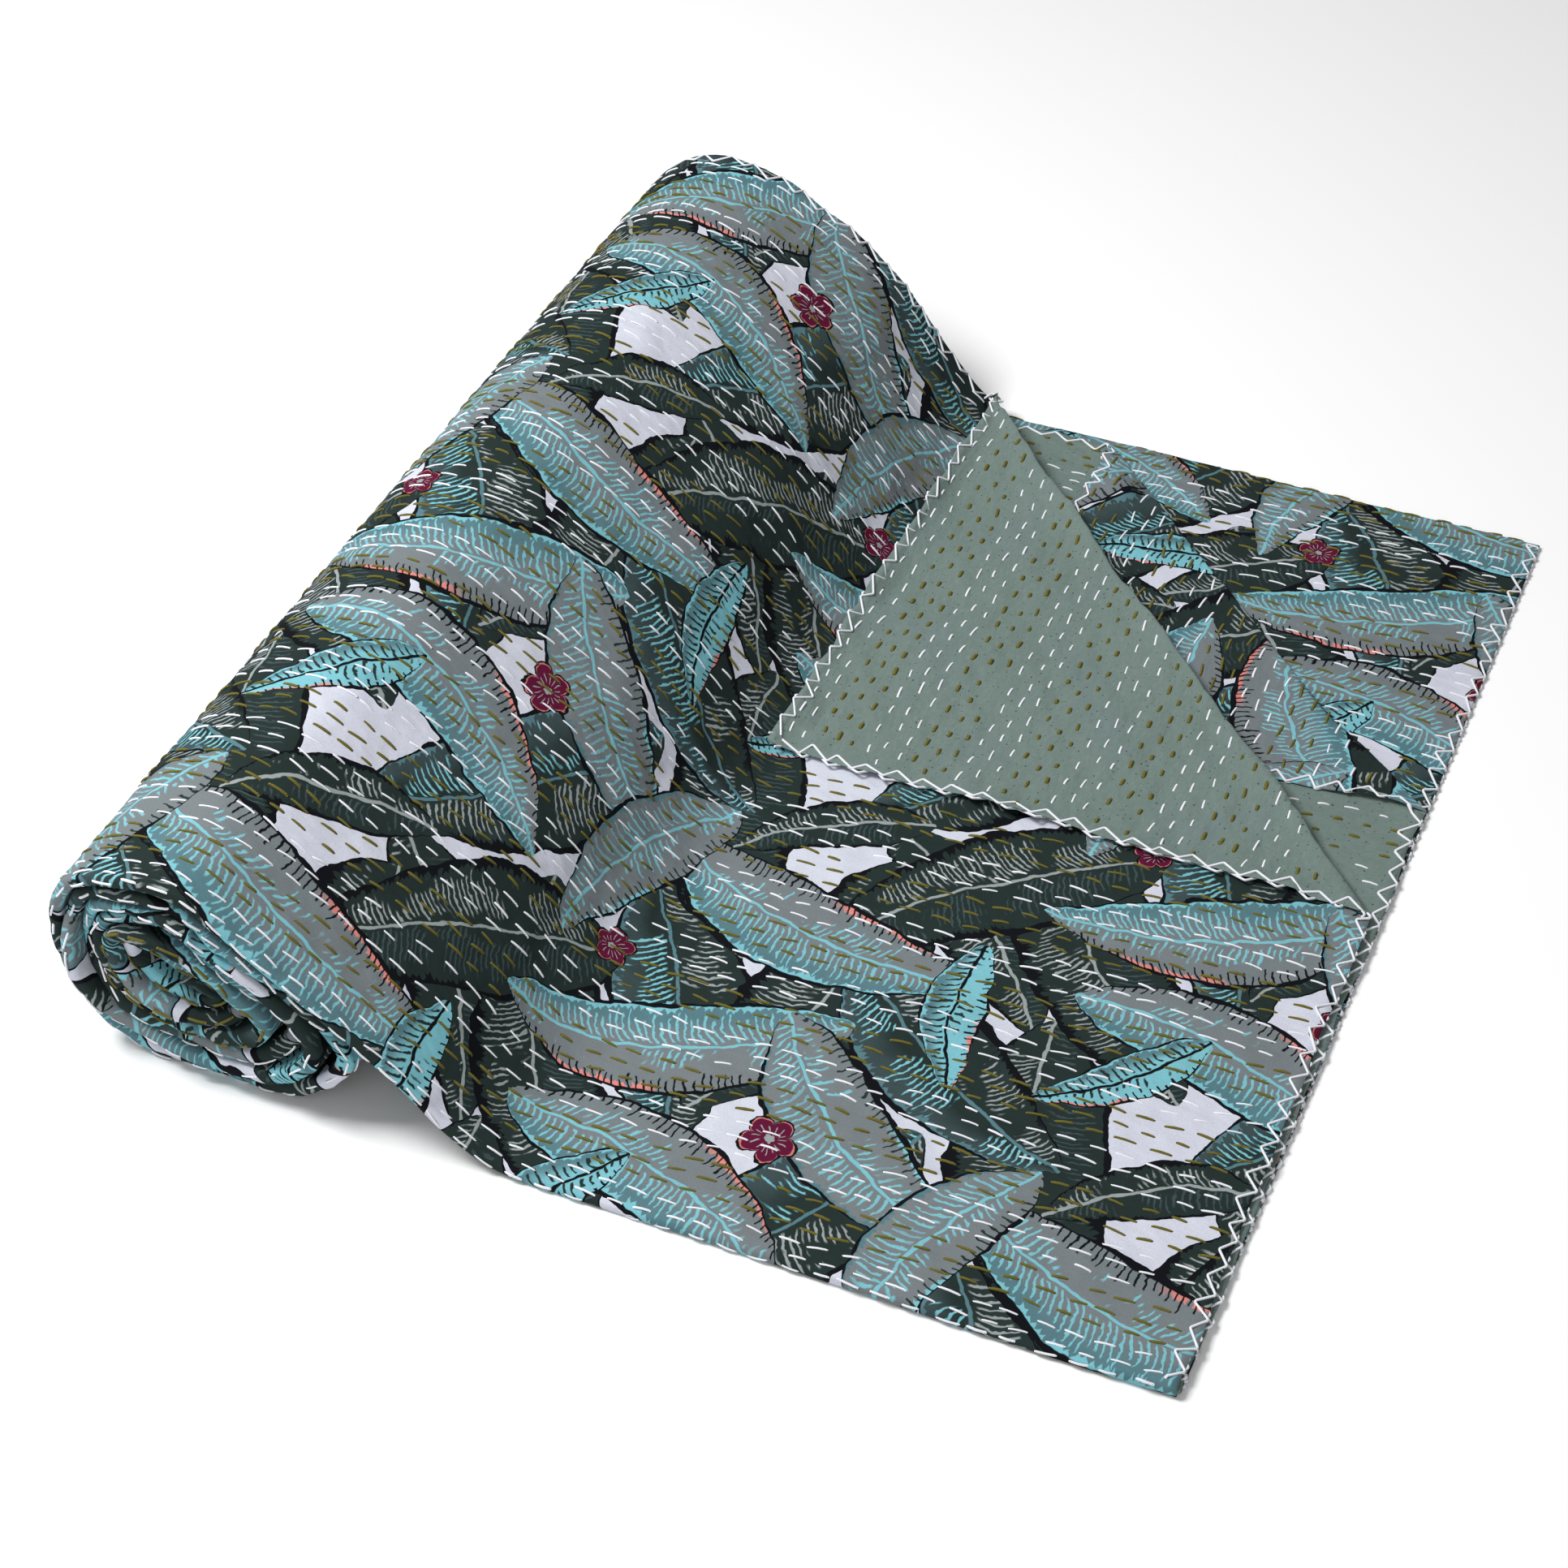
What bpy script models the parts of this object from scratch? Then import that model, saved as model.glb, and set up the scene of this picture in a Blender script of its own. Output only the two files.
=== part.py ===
"""Kantha quilt: one hand-quilted cotton cloth, folded lengthwise in four and rolled up from one end.

The cloth starts as a flat slab. Its points are then carried through the folds, in the order in which the real
quilt is put away: two corners are turned back, the cloth is folded in four, and the folded strip is rolled up.

Flat cloth: x runs along the length, from the end inside the roll to the loose end; y runs across the width;
z is the height in the cloth, positive on the printed face.
Folded quilt: x runs along the floor, 0 at the loose end; y runs from the near fold to the far side; z is up.
"""

import math

import bmesh
import bpy
from mathutils import Vector

# ---------------------------------------------------------------- driving sizes, in metres
LENGTH = 2.286  # the quilt's cut length, along the roll's winding
FOLDED_WIDTH = 0.686  # across the strip once it is folded in four
CLOTH = 0.0012  # two cotton cloths quilted together
LAYER_GAP = 0.0003  # air between two layers of the strip
FREE_EDGE_INSET_TOP = 0.002  # how far the top layer's long edge stops short of the far side
FREE_EDGE_INSET_INNER = 0.008  # the same for the layer under it
NEAR_ARC_STEPS = 4  # facets round the outer fold at the near side
INNER_ARC_STEPS = 3  # facets round each tight fold
PANEL_LINES = (0.25, 0.5, 0.75)  # where each layer is crossed by a line of points, as shares of the width

# Corners turned back at 45 degrees: leg of the turned triangle, and the fold's middle radius.
TOP_CORNER_LEG = 0.354
TOP_CORNER_RADIUS = 0.0014
INNER_CORNER_LEG = 0.267
CORNER_ARC_STEPS = 4
CORNER_SETTLE = 0.030  # a turned corner comes down onto its own layer over this distance

# The top layer rides over the inner turned corner.
LIFT_FROM = 0.190  # y where it starts to rise
LIFT_FULL = 0.335  # y from which it lies a layer higher
LIFT_REACH = 0.400  # along the strip, from the loose end, where it is back down

# The top corner's crease stands up in a soft puff where it meets the far side.
PUFF = 0.007
PUFF_REACH = 0.110  # from the far side

# How far each layer's end stops short of the lowest one's: (share of the cloth's width, inset).
END_INSETS = ((0.0, 0.004), (0.12, 0.0062), (0.24, 0.003), (0.30, 0.0), (0.74, 0.001), (1.0, 0.0015))

# ---------------------------------------------------------------- the way the strip lies, seen from its near side
# Upper face of the strip as it comes down from the roll: (near x, near z, far x, far z).
FLAT_REACH = 0.334  # the strip lies on the floor this far in from the loose end
FLAT_STEPS = 9
SLOPE = (
    (-0.3540, 0.0105, -0.3525, 0.0160),
    (-0.3735, 0.0237, -0.3700, 0.0365),
    (-0.3910, 0.0410, -0.3915, 0.0630),
    (-0.4140, 0.0594, -0.4120, 0.0885),
    (-0.4350, 0.0738, -0.4380, 0.1085),
    (-0.4720, 0.1003, -0.4710, 0.1295),
)
# Outer face of the outermost turn, a row for every 30 degrees round the roll, from where the strip leaves it at
# the top, over the side away from the loose end, along the floor and up again under the leaving strip.
OUTLINE = (
    (-0.5100, 0.1240, -0.5030, 0.1420),
    (-0.5455, 0.1225, -0.5380, 0.1410),
    (-0.5755, 0.1100, -0.5695, 0.1205),
    (-0.5880, 0.0800, -0.5870, 0.0850),
    (-0.5855, 0.0460, -0.5830, 0.0480),
    (-0.5680, 0.0150, -0.5620, 0.0155),
    (-0.5340, 0.0000, -0.5260, 0.0000),
    (-0.4960, 0.0000, -0.4880, 0.0000),
    (-0.4500, 0.0100, -0.4420, 0.0110),
    (-0.4225, 0.0470, -0.4110, 0.0550),
    (-0.4650, 0.0855, -0.4400, 0.0985),
    (-0.4905, 0.1010, -0.4745, 0.1190),
)
CORE_NEAR = (-0.5220, 0.0665)  # middle of the winding at the near end
CORE_FAR = (-0.5135, 0.0730)
CORE_HALF_LENGTH = 0.015  # the winding starts round a flat first fold
CORE_TILT = math.radians(-25.0)
FIRST_RAY = math.radians(80.0)
TURNS_TO_CORE = 6.8  # turns that would fill the roll to its middle
ROLL_SKEW = 0.0025  # the turns stand in and out of the roll's ends by this much
SKEW_WAVES = 0.43  # in and out, per turn

# ---------------------------------------------------------------- worked out from them
PITCH = CLOTH + LAYER_GAP
TOP_LEVEL = 3 * PITCH
STRIP = TOP_LEVEL + CLOTH
RAYS = len(OUTLINE)
NEAR_RADIUS = 1.5 * PITCH
INNER_RADIUS = 0.5 * PITCH
NEAR_CENTRE = NEAR_RADIUS + CLOTH / 2
FAR_CENTRE = FOLDED_WIDTH - INNER_RADIUS - CLOTH / 2
TOP_PANEL = FOLDED_WIDTH - FREE_EDGE_INSET_TOP - NEAR_CENTRE
MIDDLE_PANEL = FAR_CENTRE - NEAR_CENTRE
INNER_PANEL = FOLDED_WIDTH - FREE_EDGE_INSET_INNER - NEAR_CENTRE


def mix(a, b, share):
    """The value a share of the way from a to b."""
    return a + (b - a) * share


def smooth(low, high, value):
    """0 below low, 1 above high, and a soft step between them."""
    share = min(max((value - low) / (high - low), 0.0), 1.0)
    return share * share * (3.0 - 2.0 * share)


def along_table(rows, value):
    """The second column of a table at a value of its first."""
    for (low, first), (high, second) in zip(rows, rows[1:]):
        if value <= high:
            return mix(first, second, max(value - low, 0.0) / (high - low))
    return rows[-1][1]


# ---------------------------------------------------------------- folding in four
# The cloth's width is met in this order: top layer from its free edge at the far side, the near fold, the bottom
# layer, the far fold, the layer on it, the inner near fold, and the inner layer to its own free edge.
STRETCHES = (
    ("top", TOP_PANEL),
    ("near_fold", math.pi * NEAR_RADIUS),
    ("bottom", MIDDLE_PANEL),
    ("far_fold", math.pi * INNER_RADIUS),
    ("second", MIDDLE_PANEL),
    ("inner_fold", math.pi * INNER_RADIUS),
    ("inner", INNER_PANEL),
)
WIDTH = sum(length for _, length in STRETCHES)


def stretch_at(v):
    """The stretch of the cloth at v across its width, and the distance into it."""
    for name, length in STRETCHES[:-1]:
        if v < length:
            return name, v
        v -= length
    return STRETCHES[-1][0], v


def fold_in_four(v, w):
    """Where a point v across the cloth and w above its middle lies: y and height over the bottom layer."""
    name, d = stretch_at(v)
    if name == "top":
        return NEAR_CENTRE + TOP_PANEL - d, TOP_LEVEL + w
    if name == "near_fold":
        angle = d / NEAR_RADIUS
        reach = NEAR_RADIUS + w
        return NEAR_CENTRE - reach * math.sin(angle), 1.5 * PITCH + reach * math.cos(angle)
    if name == "bottom":
        return NEAR_CENTRE + d, -w
    if name == "far_fold":
        angle = d / INNER_RADIUS
        reach = INNER_RADIUS + w
        return FAR_CENTRE + reach * math.sin(angle), INNER_RADIUS - reach * math.cos(angle)
    if name == "second":
        return FAR_CENTRE - d, PITCH + w
    if name == "inner_fold":
        angle = d / INNER_RADIUS
        reach = INNER_RADIUS - w
        return NEAR_CENTRE - reach * math.sin(angle), 1.5 * PITCH - reach * math.cos(angle)
    return NEAR_CENTRE + d, 2 * PITCH - w


def turn_corner(s, v, w, leg, radius, edge, side, puff):
    """Bends what lies past a 45 degree crease back over the cloth, towards side (+1 face, -1 back).

    edge is the free long edge at this corner, 0 or the cloth's width, and puff is how much the crease stands up
    there.
    """
    from_edge = abs(v - edge)
    past = (leg - (LENGTH - s) - from_edge) / math.sqrt(2.0)
    if past <= 0.0:
        return s, v, w
    height = side * w
    puff *= 1.0 - smooth(0.0, PUFF_REACH, from_edge)
    bend = math.pi * radius
    if past < bend:
        angle = past / radius
        new_past = (radius - height) * math.sin(angle)
        new_height = radius - (radius - height) * math.cos(angle) + puff * (1.0 - math.cos(angle)) / 2
    else:
        run = past - bend
        new_past = -run
        settle = (2 * radius + puff - PITCH) * (1.0 - math.exp(-run / CORNER_SETTLE))
        new_height = 2 * radius + puff - height - settle
    shift = (new_past - past) / math.sqrt(2.0)
    outwards = -1.0 if edge == 0.0 else 1.0
    return s + shift, v + outwards * shift, side * new_height


# ---------------------------------------------------------------- rolling up
def section(row):
    """A row's near and far points as a pair of vectors in the section's plane."""
    return Vector((row[0], row[1])), Vector((row[2], row[3]))


def slope_stations():
    """Upper-face points and outward directions from the loose end to where the strip leaves the roll."""
    flat = [-FLAT_REACH * step / FLAT_STEPS for step in range(FLAT_STEPS + 1)]
    rows = [(x, STRIP, x, STRIP) for x in flat] + list(SLOPE)
    points = [section(row) for row in rows]
    beyond = section(OUTLINE[0])
    stations = []
    for index, pair in enumerate(points):
        ahead = points[index + 1] if index + 1 < len(points) else beyond
        behind = points[max(index - 1, 0)]
        directions = []
        for end in range(2):
            run = (ahead[end] - behind[end]).normalized()
            flat_here = index < FLAT_STEPS
            directions.append(Vector((0.0, 1.0)) if flat_here else Vector((run.y, -run.x)))
        stations.append((pair, tuple(directions)))
    return stations


def ring_stations(count):
    """The same for the winding, ray by ray and turn by turn towards the middle."""
    axis = Vector((math.cos(CORE_TILT), math.sin(CORE_TILT)))
    stations = []
    for index in range(count):
        ray = index % RAYS
        angle = FIRST_RAY + 2.0 * math.pi * ray / RAYS
        turned = index / RAYS
        first_seen = ray / RAYS
        points = []
        directions = []
        for middle, outer in zip((CORE_NEAR, CORE_FAR), section(OUTLINE[ray])):
            start = Vector(middle) + axis * (CORE_HALF_LENGTH * math.cos(angle - CORE_TILT))
            whole = (outer - start) / (1.0 - first_seen / TURNS_TO_CORE)
            points.append(start + whole * (1.0 - turned / TURNS_TO_CORE))
            directions.append(whole.normalized())
        stations.append((tuple(points), tuple(directions)))
    return stations


def measured(stations):
    """Adds each station's distance from the loose end, along the middle of the strip."""
    result = []
    distance = 0.0
    last = None
    for points, directions in stations:
        middle = [p - d * (STRIP / 2) for p, d in zip(points, directions)]
        if last:
            distance += sum((m - l).length for m, l in zip(middle, last)) / 2
        result.append((distance, points, directions))
        last = middle
    return result


OPEN_STATIONS = len(SLOPE) + FLAT_STEPS + 1
STATIONS = measured(slope_stations() + ring_stations(int(RAYS * TURNS_TO_CORE)))


def roll_up(q, y, h, first):
    """Carries a point of the flat strip, q from its loose end, to its place in the roll.

    first is the station to start looking from, which keeps the search short.
    """
    index = first
    while index + 2 < len(STATIONS) and STATIONS[index + 1][0] < q:
        index += 1
    (start, points_a, directions_a), (stop, points_b, directions_b) = STATIONS[index : index + 2]
    share = (q - start) / (stop - start)
    across = y / FOLDED_WIDTH
    point = mix(mix(*points_a, across), mix(*points_b, across), share)
    direction = mix(mix(*directions_a, across), mix(*directions_b, across), share)
    place = point - direction * (TOP_LEVEL + CLOTH / 2 - h)
    turned = max(index + share - OPEN_STATIONS, 0.0) / RAYS
    skew = ROLL_SKEW * math.sin(2.0 * math.pi * SKEW_WAVES * turned)
    return Vector((place.x, y + skew, place.y))


# ---------------------------------------------------------------- the cloth
def lines_along():
    """Where the flat cloth is crossed by lines of points, as distances along its length."""
    distances = [distance for distance, _, _ in STATIONS if distance < LENGTH - 0.002]
    return sorted([LENGTH - d for d in distances] + [0.0])


def lines_across():
    """The same across its width, with a few lines round each fold."""
    y_lines = [FOLDED_WIDTH * share for share in PANEL_LINES]
    lines = []
    start = 0.0
    steps = {"near_fold": NEAR_ARC_STEPS, "far_fold": INNER_ARC_STEPS, "inner_fold": INNER_ARC_STEPS}
    for name, length in STRETCHES:
        lines.append(start)
        if name in steps:
            lines += [start + length * n / steps[name] for n in range(1, steps[name])]
        elif name in ("top", "second"):
            far = NEAR_CENTRE + length
            lines += [start + far - y for y in reversed(y_lines)]
        else:
            lines += [start + y - NEAR_CENTRE for y in y_lines]
        start += length
    return lines + [WIDTH]


def flat_cloth():
    """The flat cloth as a sheet of triangles, whose diagonals run the same way in all layers once folded."""
    along = lines_along()
    across = lines_across()
    sheet = bmesh.new()
    bmesh.ops.create_grid(sheet, x_segments=len(along) - 1, y_segments=len(across) - 1, size=0.5)
    for vertex in sheet.verts:
        i = round((vertex.co.x + 0.5) * (len(along) - 1))
        j = round((vertex.co.y + 0.5) * (len(across) - 1))
        vertex.co = Vector((along[i], across[j], 0.0))
    downwards = []
    upwards = []
    for face in sheet.faces:
        name, _ = stretch_at(face.calc_center_median().y)
        (downwards if name in ("bottom", "inner") else upwards).append(face)
    bmesh.ops.triangulate(sheet, faces=upwards, quad_method="FIXED")
    bmesh.ops.triangulate(sheet, faces=downwards, quad_method="ALTERNATE")
    crease(sheet, TOP_CORNER_LEG, TOP_CORNER_RADIUS, 0.0)
    crease(sheet, INNER_CORNER_LEG, INNER_RADIUS, WIDTH)
    return sheet


def crease(sheet, leg, radius, edge):
    """Cuts the lines along which a corner bends."""
    outwards = -1.0 if edge == 0.0 else 1.0
    normal = Vector((1.0, outwards, 0.0)).normalized()
    for step in range(CORNER_ARC_STEPS + 1):
        past = math.pi * radius * step / CORNER_ARC_STEPS
        origin = Vector((LENGTH - leg, edge, 0.0)) + normal * past
        faces = [f for f in sheet.faces if abs(f.calc_center_median().y - edge) < MIDDLE_PANEL]
        edges = {e for f in faces for e in f.edges}
        points = {v for f in faces for v in f.verts}
        geometry = faces + list(edges) + list(points)
        bmesh.ops.bisect_plane(sheet, geom=geometry, dist=1e-6, plane_co=origin, plane_no=normal)
    bmesh.ops.triangulate(sheet, faces=[f for f in sheet.faces if len(f.verts) > 3])


def fold(point):
    """Carries a point of the flat slab through every fold to its place in the rolled quilt."""
    s, v, w = point
    name, _ = stretch_at(v)
    if name == "top":
        s, v, w = turn_corner(s, v, w, TOP_CORNER_LEG, TOP_CORNER_RADIUS, 0.0, 1.0, PUFF)
    if name == "inner":
        s, v, w = turn_corner(s, v, w, INNER_CORNER_LEG, INNER_RADIUS, WIDTH, -1.0, 0.0)
    y, h = fold_in_four(v, w)
    q = LENGTH - s
    if name == "top":
        h += PITCH * smooth(LIFT_FROM, LIFT_FULL, y) * (1.0 - smooth(FLAT_REACH, LIFT_REACH, q))
    inset = along_table(END_INSETS, v / WIDTH)
    q += inset * max(1.0 - q / FLAT_REACH, 0.0)
    return roll_up(q, y, h, 0)


def cotton():
    """The quilt's printed cotton, at the print's middle colour."""
    material = bpy.data.materials.new("printed_cotton")
    material.use_nodes = True
    shader = material.node_tree.nodes["Principled BSDF"]
    shader.inputs["Base Color"].default_value = (0.17, 0.22, 0.22, 1.0)
    shader.inputs["Roughness"].default_value = 0.85
    shader.inputs["Metallic"].default_value = 0.0
    return material


def build_quilt(collection):
    """The folded and rolled quilt as one closed solid."""
    sheet = flat_cloth()
    flat_mesh = bpy.data.meshes.new("flat_cloth")
    sheet.to_mesh(flat_mesh)
    sheet.free()
    flat = bpy.data.objects.new("flat_cloth", flat_mesh)
    collection.objects.link(flat)
    thickness = flat.modifiers.new("thickness", "SOLIDIFY")
    thickness.thickness = CLOTH
    thickness.offset = 0.0
    slab = bpy.data.meshes.new_from_object(flat.evaluated_get(bpy.context.evaluated_depsgraph_get()))
    bpy.data.objects.remove(flat)

    for vertex in slab.vertices:
        vertex.co = fold(vertex.co)
    slab.flip_normals()  # folding carries the face's width from the far side to the near one, which mirrors it
    low = Vector(min(v.co[axis] for v in slab.vertices) for axis in range(3))
    high = Vector(max(v.co[axis] for v in slab.vertices) for axis in range(3))
    foot = Vector(((low.x + high.x) / 2, (low.y + high.y) / 2, low.z))
    for vertex in slab.vertices:
        vertex.co -= foot

    slab.name = "quilt"
    quilt = bpy.data.objects.new("quilt", slab)
    collection.objects.link(quilt)
    slab.materials.clear()
    slab.materials.append(cotton())
    slab.shade_smooth()
    slab.set_sharp_from_angle(angle=math.radians(40.0))
    return quilt


def main():
    for old in list(bpy.data.objects):
        bpy.data.objects.remove(old)
    collection = bpy.data.collections.new("kantha_quilt")
    bpy.context.scene.collection.children.link(collection)
    build_quilt(collection)


main()
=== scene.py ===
"""Kantha quilt: a printed cotton face and a sage cotton back, quilted together, folded in four and rolled.

The two cloths are made flat, as they were cut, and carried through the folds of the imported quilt: two
corners are turned back, the cloth is folded in four along its length, and the folded strip is rolled up.
Rows of running stitch and the zigzag over the cut edges are carried along with them.

Flat cloth: s runs along the length, from the end inside the roll to the loose end, v runs across the width
from the top layer's free edge, and w is the height in the cloth, positive on the printed face.
"""

import math

import bmesh
import bpy
import numpy as np
from bpy.props import FloatProperty, FloatVectorProperty, IntProperty, PointerProperty
from mathutils import Euler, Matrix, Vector


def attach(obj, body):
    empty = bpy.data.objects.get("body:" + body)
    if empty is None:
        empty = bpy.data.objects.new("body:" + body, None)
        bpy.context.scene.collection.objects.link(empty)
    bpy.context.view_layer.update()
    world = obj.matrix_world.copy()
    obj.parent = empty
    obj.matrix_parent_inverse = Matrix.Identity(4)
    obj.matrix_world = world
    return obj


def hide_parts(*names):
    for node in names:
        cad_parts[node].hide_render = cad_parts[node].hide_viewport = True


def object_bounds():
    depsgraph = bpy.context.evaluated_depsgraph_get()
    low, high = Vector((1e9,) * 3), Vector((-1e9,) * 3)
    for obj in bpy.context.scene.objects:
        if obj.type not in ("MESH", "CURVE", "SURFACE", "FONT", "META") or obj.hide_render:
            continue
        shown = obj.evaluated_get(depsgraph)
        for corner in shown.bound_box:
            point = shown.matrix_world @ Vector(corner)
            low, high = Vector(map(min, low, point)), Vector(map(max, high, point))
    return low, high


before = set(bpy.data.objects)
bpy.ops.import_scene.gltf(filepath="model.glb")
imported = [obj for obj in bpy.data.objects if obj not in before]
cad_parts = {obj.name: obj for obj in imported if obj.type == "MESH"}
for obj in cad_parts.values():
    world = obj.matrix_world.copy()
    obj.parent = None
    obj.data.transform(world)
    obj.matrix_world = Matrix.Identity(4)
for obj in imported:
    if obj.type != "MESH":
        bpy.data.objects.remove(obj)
CAD_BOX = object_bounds()

bl_info = {
    "name": "Kantha Quilt",
    "version": (1, 0, 0),
    "blender": (4, 5, 0),
    "location": "3D View > Sidebar > Quilt",
    "description": "A hand-quilted cotton quilt with a leaf print, folded in four and rolled up",
    "category": "Add Mesh",
}

NODE = "quilt"
FACE, BACK = 1.0, -1.0

# ---------------------------------------------------------------- the folded quilt's sizes, in metres
LENGTH = 2.286  # cut length, along the roll's winding
FOLDED_WIDTH = 0.686
CLOTH = 0.0012  # both cottons, quilted together
PITCH = CLOTH + 0.0003  # from layer to layer
FREE_EDGE_INSET_TOP = 0.002
FREE_EDGE_INSET_INNER = 0.008

TOP_CORNER_LEG = 0.354  # legs of the corners that are turned back at 45 degrees
TOP_CORNER_RADIUS = 0.0014
INNER_CORNER_LEG = 0.267
INNER_CORNER_RADIUS = 0.5 * PITCH
CORNER_ARC_STEPS = 6
CORNER_SETTLE = 0.030  # a turned corner comes to lie flat about this far from its crease
PUFF = 0.007  # the top corner's crease stands this much higher at the free edge
PUFF_REACH = 0.110
LIFT_FROM = 0.190  # across from here to LIFT_FULL the top layer rises by one layer, over the turned corner
LIFT_FULL = 0.335
LIFT_REACH = 0.400  # and comes down again before this far from the loose end
# How far the loose end is drawn in, at shares of the cloth's width.
END_INSETS = ((0.0, 0.12, 0.24, 0.30, 0.74, 1.0), (0.004, 0.0062, 0.003, 0.0, 0.001, 0.0015))

# The strip's upper face as it comes down from the roll, from the loose end at x = 0, as near x, near z,
# far x and far z.
FLAT_REACH = 0.334
FLAT_STEPS = 9
SLOPE = (
    (-0.3540, 0.0105, -0.3525, 0.0160),
    (-0.3735, 0.0237, -0.3700, 0.0365),
    (-0.3910, 0.0410, -0.3915, 0.0630),
    (-0.4140, 0.0594, -0.4120, 0.0885),
    (-0.4350, 0.0738, -0.4380, 0.1085),
    (-0.4720, 0.1003, -0.4710, 0.1295),
)
# The outermost turn's outer face, a row for every 30 degrees round the roll, from the top over the outer
# side.
OUTLINE = (
    (-0.5100, 0.1240, -0.5030, 0.1420),
    (-0.5455, 0.1225, -0.5380, 0.1410),
    (-0.5755, 0.1100, -0.5695, 0.1205),
    (-0.5880, 0.0800, -0.5870, 0.0850),
    (-0.5855, 0.0460, -0.5830, 0.0480),
    (-0.5680, 0.0150, -0.5620, 0.0155),
    (-0.5340, 0.0000, -0.5260, 0.0000),
    (-0.4960, 0.0000, -0.4880, 0.0000),
    (-0.4500, 0.0100, -0.4420, 0.0110),
    (-0.4225, 0.0470, -0.4110, 0.0550),
    (-0.4650, 0.0855, -0.4400, 0.0985),
    (-0.4905, 0.1010, -0.4745, 0.1190),
)
CORE = (-0.5220, 0.0665, -0.5135, 0.0730)  # middle of the flattened core that the strip is wound on
CORE_HALF_LENGTH = 0.015
CORE_TILT = math.radians(-25.0)
FIRST_RAY = math.radians(80.0)  # the outline's first row lies this way from the core
TURNS_TO_CORE = 6.8
ROLL_SKEW = 0.0025  # the turns stand out and in at the roll's ends by this much
SKEW_WAVES = 0.43  # in so many waves a turn

# ---------------------------------------------------------------- worked out from them
TOP_LEVEL = 3 * PITCH
STRIP = TOP_LEVEL + CLOTH
RAYS = len(OUTLINE)
NEAR_RADIUS = 1.5 * PITCH
INNER_RADIUS = 0.5 * PITCH
NEAR_CENTRE = NEAR_RADIUS + CLOTH / 2
FAR_CENTRE = FOLDED_WIDTH - INNER_RADIUS - CLOTH / 2
TOP_PANEL = FOLDED_WIDTH - FREE_EDGE_INSET_TOP - NEAR_CENTRE
MIDDLE_PANEL = FAR_CENTRE - NEAR_CENTRE
INNER_PANEL = FOLDED_WIDTH - FREE_EDGE_INSET_INNER - NEAR_CENTRE
# Across the width: top layer, near fold, bottom layer, far fold, second layer, inner near fold and inner
# layer.
STRETCHES = (
    TOP_PANEL,
    math.pi * NEAR_RADIUS,
    MIDDLE_PANEL,
    math.pi * INNER_RADIUS,
    MIDDLE_PANEL,
    math.pi * INNER_RADIUS,
    INNER_PANEL,
)
TOP, NEAR_FOLD, BOTTOM, FAR_FOLD, SECOND, INNER_FOLD, INNER = range(7)
STARTS = np.concatenate([[0.0], np.cumsum(STRETCHES)])
WIDTH = float(STARTS[-1])
ROOT_2 = math.sqrt(2.0)
# The folds' own frame starts at the loose end's near corner. The turns that stand out at the near end are
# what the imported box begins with.
NEAR_SIDE = np.array((CAD_BOX[1].x, CAD_BOX[0].y + ROLL_SKEW, 0.0))


def smooth(low, high, value):
    """0 below low, 1 above high, and a soft step between them."""
    share = np.clip((value - low) / (high - low), 0.0, 1.0)
    return share * share * (3.0 - 2.0 * share)


WAVES_PER_LENGTH = 3
WAVE_STRETCH = (0.75, 1.3)  # a wave comes this many times in its given length
WAVE_SHARE = 1.0 / (1.5 * math.sqrt(3.0))  # brings the sum of three waves back to about -1 to 1


def waves(x, y, seed, *lengths):
    """A smooth, uneven field of about -1 to 1, from a few crossing waves of the given wavelengths."""
    turn = np.random.default_rng(seed)
    total = 0.0
    for length in lengths:
        for _ in range(WAVES_PER_LENGTH):
            angle, phase = turn.uniform(0.0, 2.0 * math.pi, 2)
            run = (x * math.cos(angle) + y * math.sin(angle)) * turn.uniform(*WAVE_STRETCH)
            total = total + np.sin(2.0 * math.pi * run / length + phase)
    return total * WAVE_SHARE / math.sqrt(len(lengths))


# ---------------------------------------------------------------- the folds
def fold_in_four(v, w):
    """Where points v across the cloth and w above its middle lie: y, and height over the bottom layer."""
    stretch = np.clip(np.searchsorted(STARTS, v, side="right") - 1, TOP, INNER)
    d = v - STARTS[stretch]
    outer = d / NEAR_RADIUS
    tight = d / INNER_RADIUS
    wide = NEAR_RADIUS + w
    swung = INNER_RADIUS + w
    tucked = INNER_RADIUS - w
    middle = TOP_LEVEL / 2
    places = (
        (NEAR_CENTRE + TOP_PANEL - d, TOP_LEVEL + w),
        (NEAR_CENTRE - wide * np.sin(outer), middle + wide * np.cos(outer)),
        (NEAR_CENTRE + d, -w),
        (FAR_CENTRE + swung * np.sin(tight), INNER_RADIUS - swung * np.cos(tight)),
        (FAR_CENTRE - d, PITCH + w),
        (NEAR_CENTRE - tucked * np.sin(tight), middle - tucked * np.cos(tight)),
        (NEAR_CENTRE + d, 2 * PITCH - w),
    )
    y, h = zip(*places)
    return np.choose(stretch, y), np.choose(stretch, h)


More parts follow.
